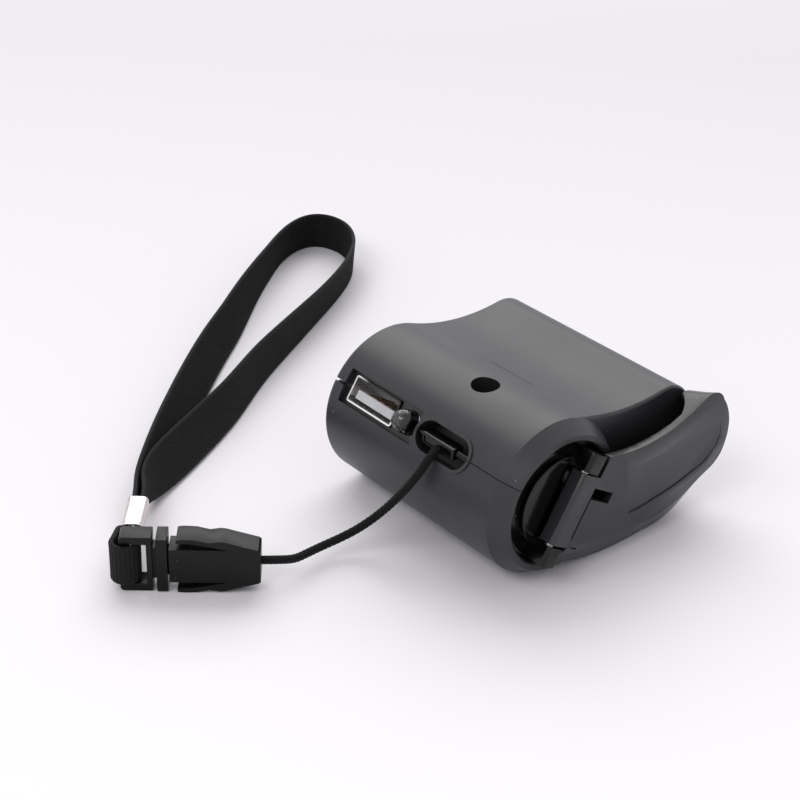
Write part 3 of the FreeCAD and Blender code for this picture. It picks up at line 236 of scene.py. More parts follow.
# Relief of a round braid: on a chequered grid of diamonds the strand of one hand or the other lies on top
def braidRelief(s, angle, look):
    turn = 2 * math.pi * s[:, None] / look["pitch"]
    n = look["carriers"] / 2
    a = (n * (angle[None, :] + turn) / (2 * math.pi)) * 2
    b = (n * (angle[None, :] - turn) / (2 * math.pi)) * 2
    over = (np.floor(a) + np.floor(b)) % 2 == 0
    across = np.where(over, a % 1, b % 1) - 0.5
    along = np.where(over, b % 1, a % 1) - 0.5
    return np.sqrt(np.clip(1 - 3.4 * across ** 2, 0, 1)) * (0.55 + 0.45 * np.cos(math.pi * along))


def braidedTube(name, path, look, start=(0, 0, 1)):
    path, s = evenSpacing(path, look["step"])
    tangent, side, up = pathFrames(path, start)
    angle = np.linspace(0, 2 * math.pi, look["round"], endpoint=False)
    radius = look["diameter"] / 2 - look["relief"] * (1 - braidRelief(s, angle, look))
    grid = (path[:, None, :] + radius[..., None] * (np.cos(angle)[None, :, None] * side[:, None, :]
            + np.sin(angle)[None, :, None] * up[:, None, :]))
    obj = tubeFromRings(name, grid, uvAlong=s / (look["diameter"] * math.pi))
    return obj, path


cordPath = splinePoints(cordRoute)
lanyardCord, cordLine = braidedTube("lanyardCord", cordPath, cordLook)
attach(lanyardCord, "casing")
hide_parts("lanyard_cord")


# Webbing: a ribbon with ribs across it, swept along stations
webbing = {
    "width": 10.0 * mm,
    "thickness": 0.95 * mm,
    "ribPitch": 0.85 * mm,
    "ribDepth": 0.16 * mm,
    "selvedge": 0.07,  # share of the width
    "step": 0.12 * mm,
}

# x, y, lean, width and lift of the lower edge along the wrist strap, in mm and degrees
strapRoute = [
    (-37.2, -72.5, 90, 3.3, 4.6),
    (-39.0, -70.9, 90, 3.3, 4.6),
    (-41.6, -68.2, 84, 4.4, 3.9),
    (-44.8, -64.2, 64, 7.2, 1.3),
    (-47.5, -58.5, 54, 9.4, 0.3),
    (-50.7, -51.3, 55, 10, 0.1),
    (-57.1, -38.9, 62, 10, 0.1),
    (-62.6, -29.4, 72, 10, 0.1),
    (-71.6, -17.0, 80, 10, 0.1),
    (-77.4, -7.0, 86, 10, 0.1),
    (-83.6, 4.2, 92, 10, 0.1),
    (-89.4, 14.6, 98, 10, 0.1),
    (-96.6, 27.6, 98, 10, 0.1),
    (-103.6, 37.4, 94, 10, 0.1),
    (-111.2, 42.6, 92, 10, 0.1),
    (-118.8, 43.6, 90, 10, 0.1),
    (-124.2, 40.6, 86, 10, 0.1),
    (-124.8, 34.6, 85, 10, 0.1),
    (-121.3, 26.6, 86, 10, 0.1),
    (-115.4, 18.8, 90, 10, 0.1),
    (-109.2, 10.9, 96, 10, 0.1),
    (-101.4, 2.0, 106, 10, 0.1),
    (-93.2, -7.1, 114, 10, 0.1),
    (-88.1, -13.8, 118, 10, 0.1),
    (-82.8, -20.5, 120, 10, 0.1),
    (-75.6, -29.1, 122, 10, 0.1),
    (-67.4, -38.6, 122, 10, 0.1),
    (-58.6, -48.8, 120, 10, 0.1),
    (-50.4, -58.6, 116, 9.3, 0.3),
    (-45.0, -66.0, 112, 7.2, 1.3),
    (-42.4, -69.9, 96, 4.4, 3.9),
    (-40.1, -72.1, 90, 3.3, 4.6),
    (-38.3, -73.7, 90, 3.3, 4.6),
]


# Section of the ribbon: a flat oval, with thicker selvedges and ribs that fade out on them
def ribbon(name, origin, up, face, width, s, look):
    across = np.array([0, 0.012, 0.05, 0.1, 0.2, 0.35, 0.5, 0.65, 0.8, 0.9, 0.95, 0.988, 1.0])
    thick = np.array([0.1, 0.72, 1.0, 0.86, 0.84, 0.84, 0.84, 0.84, 0.84, 0.86, 1.0, 0.72, 0.1])
    ribbed = np.array([0, 0.2, 0.35, 1, 1, 1, 1, 1, 1, 1, 0.35, 0.2, 0])
    a = np.r_[across, across[::-1]]
    side = np.r_[np.ones(len(across)), -np.ones(len(across))]
    h = np.r_[thick, thick[::-1]]
    r = np.r_[ribbed, ribbed[::-1]]
    wave = np.cos(2 * math.pi * s / look["ribPitch"])[:, None]
    t = side * (h * look["thickness"] / 2 + r * look["ribDepth"] / 2 * wave * np.sign(1))
    grid = (origin[:, None, :] + (a[None, :] * width[:, None])[..., None] * up[:, None, :]
            + t[..., None] * face[:, None, :])
    v = np.r_[a, a[0]]
    return tubeFromRings(name, grid, uvAlong=s / look["width"], uvRound=np.where(np.r_[side, -1] > 0, v, v))


def buildStrap(look):
    p = smoothCurve(strapRoute, 2400)
    flat = np.column_stack([p[:, :2], np.zeros(len(p)), p[:, 2:]])
    flat, s = evenSpacing(flat, look["step"] / mm)
    along = np.gradient(flat[:, :2], axis=0)
    along /= np.linalg.norm(along, axis=1)[:, None]
    away = np.column_stack([-along[:, 1], along[:, 0]])
    lean = np.radians(flat[:, 3])[:, None]
    up = np.column_stack([away * np.cos(lean), np.sin(lean)])
    face = np.cross(up, np.column_stack([along, np.zeros(len(along))]))
    lift = flat[:, 5] + look["thickness"] / mm / 2 * np.abs(np.cos(lean[:, 0]))
    origin = np.column_stack([flat[:, :2], lift])
    return ribbon("wristStrap", origin * mm, up, face, flat[:, 4] * mm, s * mm, look), s[-1] * mm


wristStrap, strapLength = buildStrap(webbing)
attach(wristStrap, "casing")
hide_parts("wrist_strap")
print("charger: strap", round(strapLength / mm, 1), "mm")


# Buckle frame of reference, as in the CAD
buckle = {
    "start": (-25.8, -84.8, 6.3),
    "turn": 50.4,
    "lanyardTurn": 138.7,
    "barWeb": 1.9,
    "crimpStart": 8.6,
    "crimpLength": 10.2,
    "crimpWidth": 4.3,
    "crimpHeight": 4.4,
}


def turnPlace(points, place, turn):
    a = math.radians(turn)
    spin = np.array(((math.cos(a), -math.sin(a), 0), (math.sin(a), math.cos(a), 0), (0, 0, 1)))
    return points @ spin.T + np.asarray(place)


def lanyardPlace(points):
    a = math.radians(buckle["turn"])
    half = buckle["barWeb"] / 2
    start = np.array(buckle["start"]) + half * np.array((math.cos(a), math.sin(a), 0))
    return turnPlace(points, start, buckle["lanyardTurn"]) * mm


# Short fold of webbing: from the crimp round the buckle's bar and back
def buildTab(look):
    ring = 2.55
    t = np.linspace(math.radians(72), math.radians(288), 60)
    round_ = np.column_stack([ring * np.cos(t), ring * np.sin(t)])
    lead = np.linspace(0, 1, 24)[:, None]
    first = (1 - lead) * np.array((10.5, 0.95)) + lead * round_[0]
    last = (1 - lead) * round_[-1] + lead * np.array((10.5, -0.95))
    plan = np.vstack([first[:-1], round_, last[1:]])
    plan = np.column_stack([plan, np.zeros(len(plan))])
    plan, s = evenSpacing(plan, look["step"] / mm)
    gather = np.clip((plan[:, 0] - 4.2) / 4.6, 0, 1)
    width = 8.8 * (1 - 0.62 * gather ** 1.4)
    along = np.gradient(plan, axis=0)
    along /= np.linalg.norm(along, axis=1)[:, None]
    up = np.tile((0.0, 0.0, 1.0), (len(plan), 1))
    face = np.cross(up, along)
    origin = plan - up * width[:, None] / 2
    world = lanyardPlace(origin)
    tips = lanyardPlace(origin + face) - world
    return ribbon("strapTab", world, up, tips / mm, width * mm, s * mm, look)


tabLook = dict(webbing, thickness=1.15 * mm, ribPitch=0.78 * mm, ribDepth=0.16 * mm)
strapTab = buildTab(tabLook)
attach(strapTab, "casing")
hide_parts("strap_tab")


# Polished crimp: sheet metal bent round the webbing, its two lips meeting underneath;
# the section is a rounded box, cosine and sine raised to a low power
def buildCrimp(b):
    n = 97
    t = np.linspace(0.012, 1 - 0.012, n) * 2 * math.pi + math.pi * 1.5
    power = 0.42
    c = np.sign(np.cos(t)) * np.abs(np.cos(t)) ** power
    d = np.sign(np.sin(t)) * np.abs(np.sin(t)) ** power
    lengthSteps = np.linspace(0, 1, 33)
    flare = 1 + 0.05 * np.exp(-((lengthSteps / 0.06) ** 2)) + 0.05 * np.exp(-(((1 - lengthSteps) / 0.06) ** 2))
    y = np.outer(flare, c) * (b["crimpWidth"] / 2 - 0.25)
    z = np.outer(flare, d) * (b["crimpHeight"] / 2 - 0.25)
    x = np.repeat(b["crimpStart"] + lengthSteps[:, None] * b["crimpLength"], n, 1)
    points = lanyardPlace(np.stack([x, y, z], -1).reshape(-1, 3))
    i, j = np.meshgrid(np.arange(len(lengthSteps) - 1), np.arange(n - 1), indexing="ij")
    quads = np.stack([i * n + j, i * n + j + 1, (i + 1) * n + j + 1, (i + 1) * n + j], -1).reshape(-1, 4)
    obj = addMesh("strapCrimp", points, quads)
    wallModifier = obj.modifiers.new("wall", "SOLIDIFY")
    wallModifier.thickness = 0.45 * mm
    wallModifier.offset = 0.0
    edge = obj.modifiers.new("edge", "BEVEL")
    edge.width = 0.08 * mm
    edge.segments = 2
    return obj


strapCrimp = buildCrimp(buckle)
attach(strapCrimp, "casing")
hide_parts("strap_crimp")


# A CAD node with its sharp edges rounded as a mould leaves them
def softenedCopy(node, name, width, segments=3, angle=28):
    source = frame["nodes"][node]
    mesh = source.data.copy()
    mesh.name = name
    obj = bpy.data.objects.new(name, mesh)
    bpy.context.scene.collection.objects.link(obj)
    bm = bmesh.new()
    bm.from_mesh(mesh)
    bmesh.ops.remove_doubles(bm, verts=bm.verts, dist=1e-6)
    bmesh.ops.dissolve_limit(bm, angle_limit=math.radians(0.6), verts=bm.verts, edges=bm.edges)
    bmesh.ops.recalc_face_normals(bm, faces=bm.faces)
    for face in bm.faces:
        face.smooth = True
    bm.to_mesh(mesh)
    bm.free()
    bevel = obj.modifiers.new("edges", "BEVEL")
    bevel.width = width
    bevel.segments = segments
    bevel.limit_method = "ANGLE"
    bevel.angle_limit = math.radians(angle)
    bevel.harden_normals = True
    bevel.use_clamp_overlap = True
    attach(obj, source["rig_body"])
    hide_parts(node)
    return obj


bucklePlug = softenedCopy("buckle_plug", "bucklePlug", 0.3 * mm)
buckleSocket = softenedCopy("buckle_socket", "buckleSocket", 0.35 * mm)
crankArm = softenedCopy("crank_arm", "crankArm", 0.4 * mm)


# The middle knuckle is polished like the hub: faces nearer the hinge than the arm's edge take a second finish
def polishedBarrel(obj, edge, turn):
    a = math.radians(turn)
    centre = np.empty(len(obj.data.polygons) * 3)
    obj.data.polygons.foreach_get("center", centre)
    centre = centre.reshape(-1, 3) / mm - np.array((0, -14.6, 17.0))
    along = centre[:, 1] * math.cos(a) + centre[:, 2] * math.sin(a)
    obj.data.polygons.foreach_set("material_index", (along < edge).astype(np.int32))


polishedBarrel(crankArm, 3.7, -31.2)
crankHub = softenedCopy("crank_hub", "crankHub", 0.22 * mm)
lanyardBlock = softenedCopy("lanyard_bar", "lanyardBlock", 0.12 * mm)

print("charger: lanyard done")


# Clear lamp: a domed lens with its flange, and the cup and posts cast inside it
lamp = {
    "x": 22.6 - 28.975,
    "radius": 2.5,
    "flange": 2.85,
    "base": 9.6,
    "tip": 19.8,
    "seam": 147.0,
}


# Surface of revolution: profile points (radius, height) turned about the lamp's axis
def lampRevolve(name, profile, count=48):
    a = math.radians(lamp["seam"])
    axis = np.array((0, math.cos(a), math.sin(a)))
    across = np.array((1.0, 0, 0))
    other = np.cross(axis, across)
    t = np.linspace(0, 2 * math.pi, count, endpoint=False)
    r, h = np.array(profile).T
    base = np.array((lamp["x"], -14.6, 17.0))
    ring = np.cos(t)[:, None] * across + np.sin(t)[:, None] * other
    grid = base + h[:, None, None] * axis + r[:, None, None] * ring[None]
    return tubeFromRings(name, grid * mm)


def lampProfiles():
    r, f, low, tip = lamp["radius"], lamp["flange"], lamp["base"], lamp["tip"]
    shoulder = tip - r
    dome = np.linspace(0, math.pi / 2 * 0.97, 16)
    lens = [(f * 0.96, low), (f, low + 0.1), (f, low + 0.85), (f * 0.97, low + 1.0), (r + 0.05, low + 1.0), (r, low + 1.1)]
    lens += [(r, low + 1.1 + (shoulder - low - 1.1) * k / 4) for k in range(1, 4)]
    lens += [(r * math.cos(a), shoulder + r * math.sin(a)) for a in dome]
    cup = [(0.95, low + 2.6), (1.0, low + 2.7), (1.05, low + 3.9), (0.9, low + 4.0), (0.5, low + 3.55), (0.12, low + 3.5)]
    return lens, cup


lensProfile, cupProfile = lampProfiles()
lampLens = lampRevolve("lampLens", lensProfile)
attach(lampLens, "casing")
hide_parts("led_lens")
lampCup = lampRevolve("lampCup", cupProfile, 24)
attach(lampCup, "casing")
print("charger: lamp done")


# Node groups shared by the materials
def newGroup(name, inputs, outputs):
    group = bpy.data.node_groups.new(name, "ShaderNodeTree")
    for label, kind, value in inputs:
        socket = group.interface.new_socket(label, in_out="INPUT", socket_type=kind)
        if value is not None:
            socket.default_value = value
    for label, kind in outputs:
        group.interface.new_socket(label, in_out="OUTPUT", socket_type=kind)
    return group, group.nodes.new("NodeGroupInput"), group.nodes.new("NodeGroupOutput")


def addNode(tree, kind, **values):
    node = tree.nodes.new(kind)
    for key, value in values.items():
        if hasattr(node, key):
            setattr(node, key, value)
        else:
            node.inputs[key.replace("_", " ")].default_value = value
    return node


# Fine spark-eroded grain of a moulded part: small bumps and a slow drift of the gloss
def mouldedGrainGroup():
    group, enter, leave = newGroup("mouldedGrain", [
        ("Vector", "NodeSocketVector", None), ("Grain", "NodeSocketFloat", 4000.0),
        ("Depth", "NodeSocketFloat", 0.2), ("Roughness", "NodeSocketFloat", 0.4),
        ("Drift", "NodeSocketFloat", 0.06)],
        [("Roughness", "NodeSocketFloat"), ("Normal", "NodeSocketVector")])
    link = group.links.new
    fine = addNode(group, "ShaderNodeTexNoise", Detail=2.0)
    link(enter.outputs["Vector"], fine.inputs["Vector"])
    link(enter.outputs["Grain"], fine.inputs["Scale"])
    bump = addNode(group, "ShaderNodeBump", Distance=0.00004)
    link(enter.outputs["Depth"], bump.inputs["Strength"])
    link(fine.outputs["Fac"], bump.inputs["Height"])
    slow = addNode(group, "ShaderNodeTexNoise", Scale=70.0, Detail=4.0)
    link(enter.outputs["Vector"], slow.inputs["Vector"])
    centred = addNode(group, "ShaderNodeMath", operation="SUBTRACT")
    link(slow.outputs["Fac"], centred.inputs[0])
    centred.inputs[1].default_value = 0.5
    scaled = addNode(group, "ShaderNodeMath", operation="MULTIPLY_ADD")
    link(centred.outputs[0], scaled.inputs[0])
    link(enter.outputs["Drift"], scaled.inputs[1])
    link(enter.outputs["Roughness"], scaled.inputs[2])
    link(scaled.outputs[0], leave.inputs["Roughness"])
    link(bump.outputs["Normal"], leave.inputs["Normal"])
    return group


# Sparse specks of dust and lint
def dustGroup():
    group, enter, leave = newGroup("dustSpecks", [
        ("Vector", "NodeSocketVector", None), ("Density", "NodeSocketFloat", 900.0),
        ("Size", "NodeSocketFloat", 0.12)], [("Mask", "NodeSocketFloat")])
    link = group.links.new
    cells = addNode(group, "ShaderNodeTexVoronoi")
    link(enter.outputs["Vector"], cells.inputs["Vector"])
    link(enter.outputs["Density"], cells.inputs["Scale"])
    near = addNode(group, "ShaderNodeMath", operation="LESS_THAN")
    link(cells.outputs["Distance"], near.inputs[0])
    link(enter.outputs["Size"], near.inputs[1])
    pick = addNode(group, "ShaderNodeSeparateColor")
    link(cells.outputs["Color"], pick.inputs[0])
    rare = addNode(group, "ShaderNodeMath", operation="GREATER_THAN")
    link(pick.outputs[0], rare.inputs[0])
    rare.inputs[1].default_value = 0.86
    both = addNode(group, "ShaderNodeMath", operation="MULTIPLY")
    link(near.outputs[0], both.inputs[0])
    link(rare.outputs[0], both.inputs[1])
    link(both.outputs[0], leave.inputs["Mask"])
    return group


# Yarns of a tape or braid along its own UV: ends side by side and picks across them. The Shade output mixes a
# random fibre tone with painted shade in the yarns' hollows and painted light on their crests
def yarnGroup():
    group, enter, leave = newGroup("yarns", [
        ("Vector", "NodeSocketVector", None), ("Ends", "NodeSocketFloat", 30.0),
        ("Picks", "NodeSocketFloat", 60.0), ("Depth", "NodeSocketFloat", 0.5)],
        [("Shade", "NodeSocketFloat"), ("Normal", "NodeSocketVector")])
    link = group.links.new
    split = addNode(group, "ShaderNodeSeparateXYZ")
    link(enter.outputs["Vector"], split.inputs[0])

    def wave(source, count):
        scaled = addNode(group, "ShaderNodeMath", operation="MULTIPLY")
        link(source, scaled.inputs[0])
        link(count, scaled.inputs[1])
        full = addNode(group, "ShaderNodeMath", operation="MULTIPLY")
        link(scaled.outputs[0], full.inputs[0])
        full.inputs[1].default_value = 2 * math.pi
        sine = addNode(group, "ShaderNodeMath", operation="SINE")
        link(full.outputs[0], sine.inputs[0])
        return sine.outputs[0]

    ends = wave(split.outputs[1], enter.outputs["Ends"])
    picks = wave(split.outputs[0], enter.outputs["Picks"])
    weave = addNode(group, "ShaderNodeMath", operation="MULTIPLY")
    link(ends, weave.inputs[0])
    link(picks, weave.inputs[1])
    fibre = addNode(group, "ShaderNodeTexNoise", Scale=9000.0, Detail=2.0)
    texture = addNode(group, "ShaderNodeTexCoord")
    link(texture.outputs["Object"], fibre.inputs["Vector"])
    height = addNode(group, "ShaderNodeMath", operation="MULTIPLY_ADD")
    link(fibre.outputs["Fac"], height.inputs[0])
    height.inputs[1].default_value = 0.8
    link(weave.outputs[0], height.inputs[2])
    bump = addNode(group, "ShaderNodeBump", Distance=0.00008)
    link(enter.outputs["Depth"], bump.inputs["Strength"])
    link(height.outputs[0], bump.inputs["Height"])
    shade = addNode(group, "ShaderNodeMapRange")
    link(height.outputs[0], shade.inputs[0])
    shade.inputs[1].default_value = -1.0
    shade.inputs[2].default_value = 1.8
    link(shade.outputs[0], leave.inputs["Shade"])
    link(bump.outputs["Normal"], leave.inputs["Normal"])
    return group


# Drawn or turned metal: fine lines stretched along one axis
def drawnGroup():
    group, enter, leave = newGroup("drawnMetal", [
        ("Vector", "NodeSocketVector", None), ("Depth", "NodeSocketFloat", 0.2),
        ("Roughness", "NodeSocketFloat", 0.3), ("Spread", "NodeSocketFloat", 0.15)],
        [("Roughness", "NodeSocketFloat"), ("Normal", "NodeSocketVector")])
    link = group.links.new
    stretch = addNode(group, "ShaderNodeMapping")
    stretch.inputs["Scale"].default_value = (300.0, 6000.0, 6000.0)
    link(enter.outputs["Vector"], stretch.inputs["Vector"])
    lines = addNode(group, "ShaderNodeTexNoise", Scale=1.0, Detail=3.0)
    link(stretch.outputs[0], lines.inputs["Vector"])
    bump = addNode(group, "ShaderNodeBump", Distance=0.00003)
    link(enter.outputs["Depth"], bump.inputs["Strength"])
    link(lines.outputs["Fac"], bump.inputs["Height"])
    rough = addNode(group, "ShaderNodeMath", operation="MULTIPLY_ADD")
    link(lines.outputs["Fac"], rough.inputs[0])
    link(enter.outputs["Spread"], rough.inputs[1])
    link(enter.outputs["Roughness"], rough.inputs[2])
    link(rough.outputs[0], leave.inputs["Roughness"])
    link(bump.outputs["Normal"], leave.inputs["Normal"])
    return group


grainGroup = mouldedGrainGroup()
dustSpecks = dustGroup()
yarns = yarnGroup()
drawnMetal = drawnGroup()


def placeGroup(tree, group, vector, **values):
    node = tree.nodes.new("ShaderNodeGroup")
    node.node_tree = group
    tree.links.new(vector, node.inputs["Vector"])
    for key, value in values.items():
        node.inputs[key].default_value = value
    return node


def newMaterial(name):
    material = bpy.data.materials.new(name)
    material.use_nodes = True
    tree = material.node_tree
    tree.nodes.clear()
    out = tree.nodes.new("ShaderNodeOutputMaterial")
    shader = tree.nodes.new("ShaderNodeBsdfPrincipled")
    tree.links.new(shader.outputs[0], out.inputs["Surface"])
    coords = tree.nodes.new("ShaderNodeTexCoord")
    return material, tree, shader, coords


# Two tones mixed by a slow noise, for colour that is never quite even
def mottled(tree, vector, first, second, scale):
    noise = addNode(tree, "ShaderNodeTexNoise", Scale=scale, Detail=5.0)
    tree.links.new(vector, noise.inputs["Vector"])
    ramp = tree.nodes.new("ShaderNodeValToRGB")
    ramp.color_ramp.elements[0].position = 0.35
    ramp.color_ramp.elements[1].position = 0.65
    ramp.color_ramp.elements[0].color = (*first, 1)
    ramp.color_ramp.elements[1].color = (*second, 1)
    tree.links.new(noise.outputs["Fac"], ramp.inputs[0])
    return ramp.outputs[0]


def overlay(tree, base, mask, colour):
    mix = tree.nodes.new("ShaderNodeMix")
    mix.data_type = "RGBA"
    tree.links.new(mask, mix.inputs[0])
    tree.links.new(base, mix.inputs[6])
    mix.inputs[7].default_value = (*colour, 1)
    return mix.outputs[2]


def plastic(name, look):
    material, tree, shader, coords = newMaterial(name)
    vector = coords.outputs["Object"]
    grain = placeGroup(tree, grainGroup, vector, Grain=look["grain"], Depth=look["depth"],
                       Roughness=look["roughness"], Drift=look["drift"])
    base = mottled(tree, vector, look["colour"], look["second"], 160.0)
    if look.get("dust"):
        dust = placeGroup(tree, dustSpecks, vector, Density=look["dust"], Size=0.07)
        base = overlay(tree, base, dust.outputs["Mask"], look.get("dustColour", (0.16, 0.16, 0.16)))
    tree.links.new(base, shader.inputs["Base Color"])
    tree.links.new(grain.outputs["Roughness"], shader.inputs["Roughness"])
    tree.links.new(grain.outputs["Normal"], shader.inputs["Normal"])
    shader.inputs["Specular IOR Level"].default_value = look.get("specular", 0.5)
    if look.get("coat"):
        shader.inputs["Coat Weight"].default_value = look["coat"]
        shader.inputs["Coat Roughness"].default_value = 0.12
    return material


# Painted shade and painted highlight on plating: the colour runs from dark to bright along an axis through the
# piece
def paintedLightSide(tree, vector, look):
    along = addNode(tree, "ShaderNodeVectorMath", operation="DOT_PRODUCT")
    tree.links.new(vector, along.inputs[0])
    along.inputs[1].default_value = look["brightAxis"]
    ramp = addNode(tree, "ShaderNodeMapRange")
    tree.links.new(along.outputs["Value"], ramp.inputs[0])
    ramp.inputs[1].default_value = look["brightFrom"]
    ramp.inputs[2].default_value = look["brightTo"]
    return ramp.outputs[0]


def metal(name, look):
    material, tree, shader, coords = newMaterial(name)
    vector = coords.outputs["Object"]
    lines = placeGroup(tree, drawnMetal, vector, Depth=look["depth"], Roughness=look["roughness"],
                       Spread=look["spread"])
    base = mottled(tree, vector, look["colour"], look["second"], 220.0)
    # a painted highlight laid along one side of the piece, over a colour darkened as painted shade
    if "bright" in look:
        base = overlay(tree, base, paintedLightSide(tree, vector, look), look["bright"])
    tree.links.new(base, shader.inputs["Base Color"])
    tree.links.new(lines.outputs["Roughness"], shader.inputs["Roughness"])
    tree.links.new(lines.outputs["Normal"], shader.inputs["Normal"])
    shader.inputs["Metallic"].default_value = 1.0
    return material


def cloth(name, look):
    material, tree, shader, coords = newMaterial(name)
    weave = placeGroup(tree, yarns, coords.outputs["UV"], Ends=look["ends"], Picks=look["picks"],
                       Depth=look["depth"])
    # the weave's Shade picks a colour between the two tones: painted shade in the hollows, painted light on the
    # crests
    ramp = tree.nodes.new("ShaderNodeValToRGB")
    ramp.color_ramp.elements[0].color = (*look["colour"], 1)
    ramp.color_ramp.elements[1].color = (*look["second"], 1)
    tree.links.new(weave.outputs["Shade"], ramp.inputs[0])
    lint = placeGroup(tree, dustSpecks, coords.outputs["Object"], Density=1500.0, Size=0.05)
    tree.links.new(overlay(tree, ramp.outputs[0], lint.outputs["Mask"], (0.12, 0.12, 0.12)),
                   shader.inputs["Base Color"])
    tree.links.new(weave.outputs["Normal"], shader.inputs["Normal"])
    shader.inputs["Roughness"].default_value = look["roughness"]
    shader.inputs["Specular IOR Level"].default_value = look["specular"]
    shader.inputs["Sheen Weight"].default_value = look["sheen"]
    shader.inputs["Sheen Roughness"].default_value = 0.45
    return material


def clearEpoxy(name):
    material, tree, shader, coords = newMaterial(name)
    noise = addNode(tree, "ShaderNodeTexNoise", Scale=300.0, Detail=1.0)
    tree.links.new(coords.outputs["Object"], noise.inputs["Vector"])
    bump = addNode(tree, "ShaderNodeBump", Strength=0.02, Distance=0.00001)
    tree.links.new(noise.outputs["Fac"], bump.inputs["Height"])
    tree.links.new(bump.outputs["Normal"], shader.inputs["Normal"])
    shader.inputs["Base Color"].default_value = (0.94, 0.96, 0.98, 1)
    shader.inputs["Transmission Weight"].default_value = 1.0
    shader.inputs["Roughness"].default_value = 0.02
    shader.inputs["IOR"].default_value = 1.53
    return material


plastics = {
    "charcoal": {"colour": (0.0150, 0.0143, 0.0165), "second": (0.0185, 0.0176, 0.0200), "grain": 3800.0,
                 "depth": 0.12, "roughness": 0.4, "drift": 0.1, "dust": 420.0, "specular": 0.5},
    "crankBlack": {"colour": (0.0155, 0.0148, 0.0168), "second": (0.0190, 0.0182, 0.0205), "grain": 3800.0,
                   "depth": 0.12, "roughness": 0.32, "drift": 0.08, "dust": 420.0, "specular": 0.5},
    "hubBlack": {"colour": (0.0015, 0.0015, 0.0017), "second": (0.0025, 0.0025, 0.0028), "grain": 3000.0,
                 "depth": 0.06, "roughness": 0.15, "drift": 0.08, "dust": 520.0, "specular": 0.3},
    "acetalBlack": {"colour": (0.004, 0.004, 0.0045), "second": (0.006, 0.006, 0.0065), "grain": 4200.0,
                    "depth": 0.16, "roughness": 0.3, "drift": 0.1, "dust": 600.0, "specular": 0.2},
    "gearWhite": {"colour": (0.78, 0.77, 0.72), "second": (0.70, 0.69, 0.64), "grain": 2500.0,
                  "depth": 0.1, "roughness": 0.4, "drift": 0.1},
    "gearBlack": {"colour": (0.03, 0.03, 0.033), "second": (0.045, 0.045, 0.05), "grain": 2500.0,
                  "depth": 0.1, "roughness": 0.4, "drift": 0.1},
    "plateGrey": {"colour": (0.16, 0.165, 0.175), "second": (0.13, 0.135, 0.145), "grain": 2800.0,
                  "depth": 0.2, "roughness": 0.5, "drift": 0.1},
    "boardGreen": {"colour": (0.012, 0.10, 0.045), "second": (0.016, 0.125, 0.055), "grain": 1500.0,
                   "depth": 0.1, "roughness": 0.3, "drift": 0.1, "coat": 0.4},
    "tongueGrey": {"colour": (0.62, 0.62, 0.64), "second": (0.54, 0.54, 0.56), "grain": 2500.0,
                   "depth": 0.1, "roughness": 0.42, "drift": 0.1},
    "partBlack": {"colour": (0.02, 0.02, 0.022), "second": (0.03, 0.03, 0.032), "grain": 3000.0,
                  "depth": 0.25, "roughness": 0.45, "drift": 0.1},
    "wireRed": {"colour": (0.42, 0.03, 0.02), "second": (0.5, 0.04, 0.03), "grain": 2500.0,
                "depth": 0.1, "roughness": 0.45, "drift": 0.1},
    "ferrite": {"colour": (0.05, 0.048, 0.048), "second": (0.075, 0.07, 0.07), "grain": 2200.0,
                "depth": 0.4, "roughness": 0.6, "drift": 0.15},
}

metals = {
    "brightSteel": {"colour": (0.60, 0.60, 0.61), "second": (0.68, 0.68, 0.69), "depth": 0.2,
                    "roughness": 0.22, "spread": 0.18},
    "blackScrew": {"colour": (0.06, 0.06, 0.065), "second": (0.09, 0.09, 0.095), "depth": 0.2,
                   "roughness": 0.35, "spread": 0.15},
    "bushBrass": {"colour": (0.72, 0.52, 0.24), "second": (0.62, 0.43, 0.18), "depth": 0.25,
                  "roughness": 0.3, "spread": 0.18},
    "canZinc": {"colour": (0.55, 0.56, 0.58), "second": (0.46, 0.47, 0.5), "depth": 0.25,
                "roughness": 0.34, "spread": 0.2},
    "copper": {"colour": (0.72, 0.32, 0.16), "second": (0.6, 0.24, 0.1), "depth": 0.8,
               "roughness": 0.3, "spread": 0.15},
    # nickel: the dark colour is painted shade over the socket's top, and the bright colour is a painted highlight
    # along its lower lip
    "nickel": {"colour": (0.035, 0.033, 0.031), "second": (0.055, 0.05, 0.046), "depth": 0.12,
               "roughness": 0.2, "spread": 0.14, "bright": (0.86, 0.85, 0.83),
               "brightAxis": (-0.35, -0.512, -0.788), "brightFrom": -0.0013, "brightTo": -0.0001},
    "gold": {"colour": (0.30, 0.19, 0.08), "second": (0.24, 0.15, 0.06), "depth": 0.1,
             "roughness": 0.2, "spread": 0.12},
    "crimpChrome": {"colour": (0.52, 0.47, 0.46), "second": (0.60, 0.55, 0.54), "depth": 0.12,
                    "roughness": 0.14, "spread": 0.1},
}

cloths = {
    # cloth tones: the first colour is the painted shade of the yarn hollows, the second the painted light of the
    # crests
    "strapWeave": {"colour": (0.0015, 0.0015, 0.0018), "second": (0.020, 0.020, 0.021), "ends": 26.0,
                   "picks": 14.0, "depth": 0.8, "roughness": 0.6, "sheen": 0.02, "specular": 0.12},
    "cordBraid": {"colour": (0.0015, 0.0015, 0.0018), "second": (0.008, 0.008, 0.009), "ends": 40.0,
                  "picks": 40.0, "depth": 0.5, "roughness": 0.5, "sheen": 0.02, "specular": 0.12},
}

materials = {name: plastic(name, look) for name, look in plastics.items()}
materials.update({name: metal(name, look) for name, look in metals.items()})
materials.update({name: cloth(name, look) for name, look in cloths.items()})
materials["lampClear"] = clearEpoxy("lampClear")

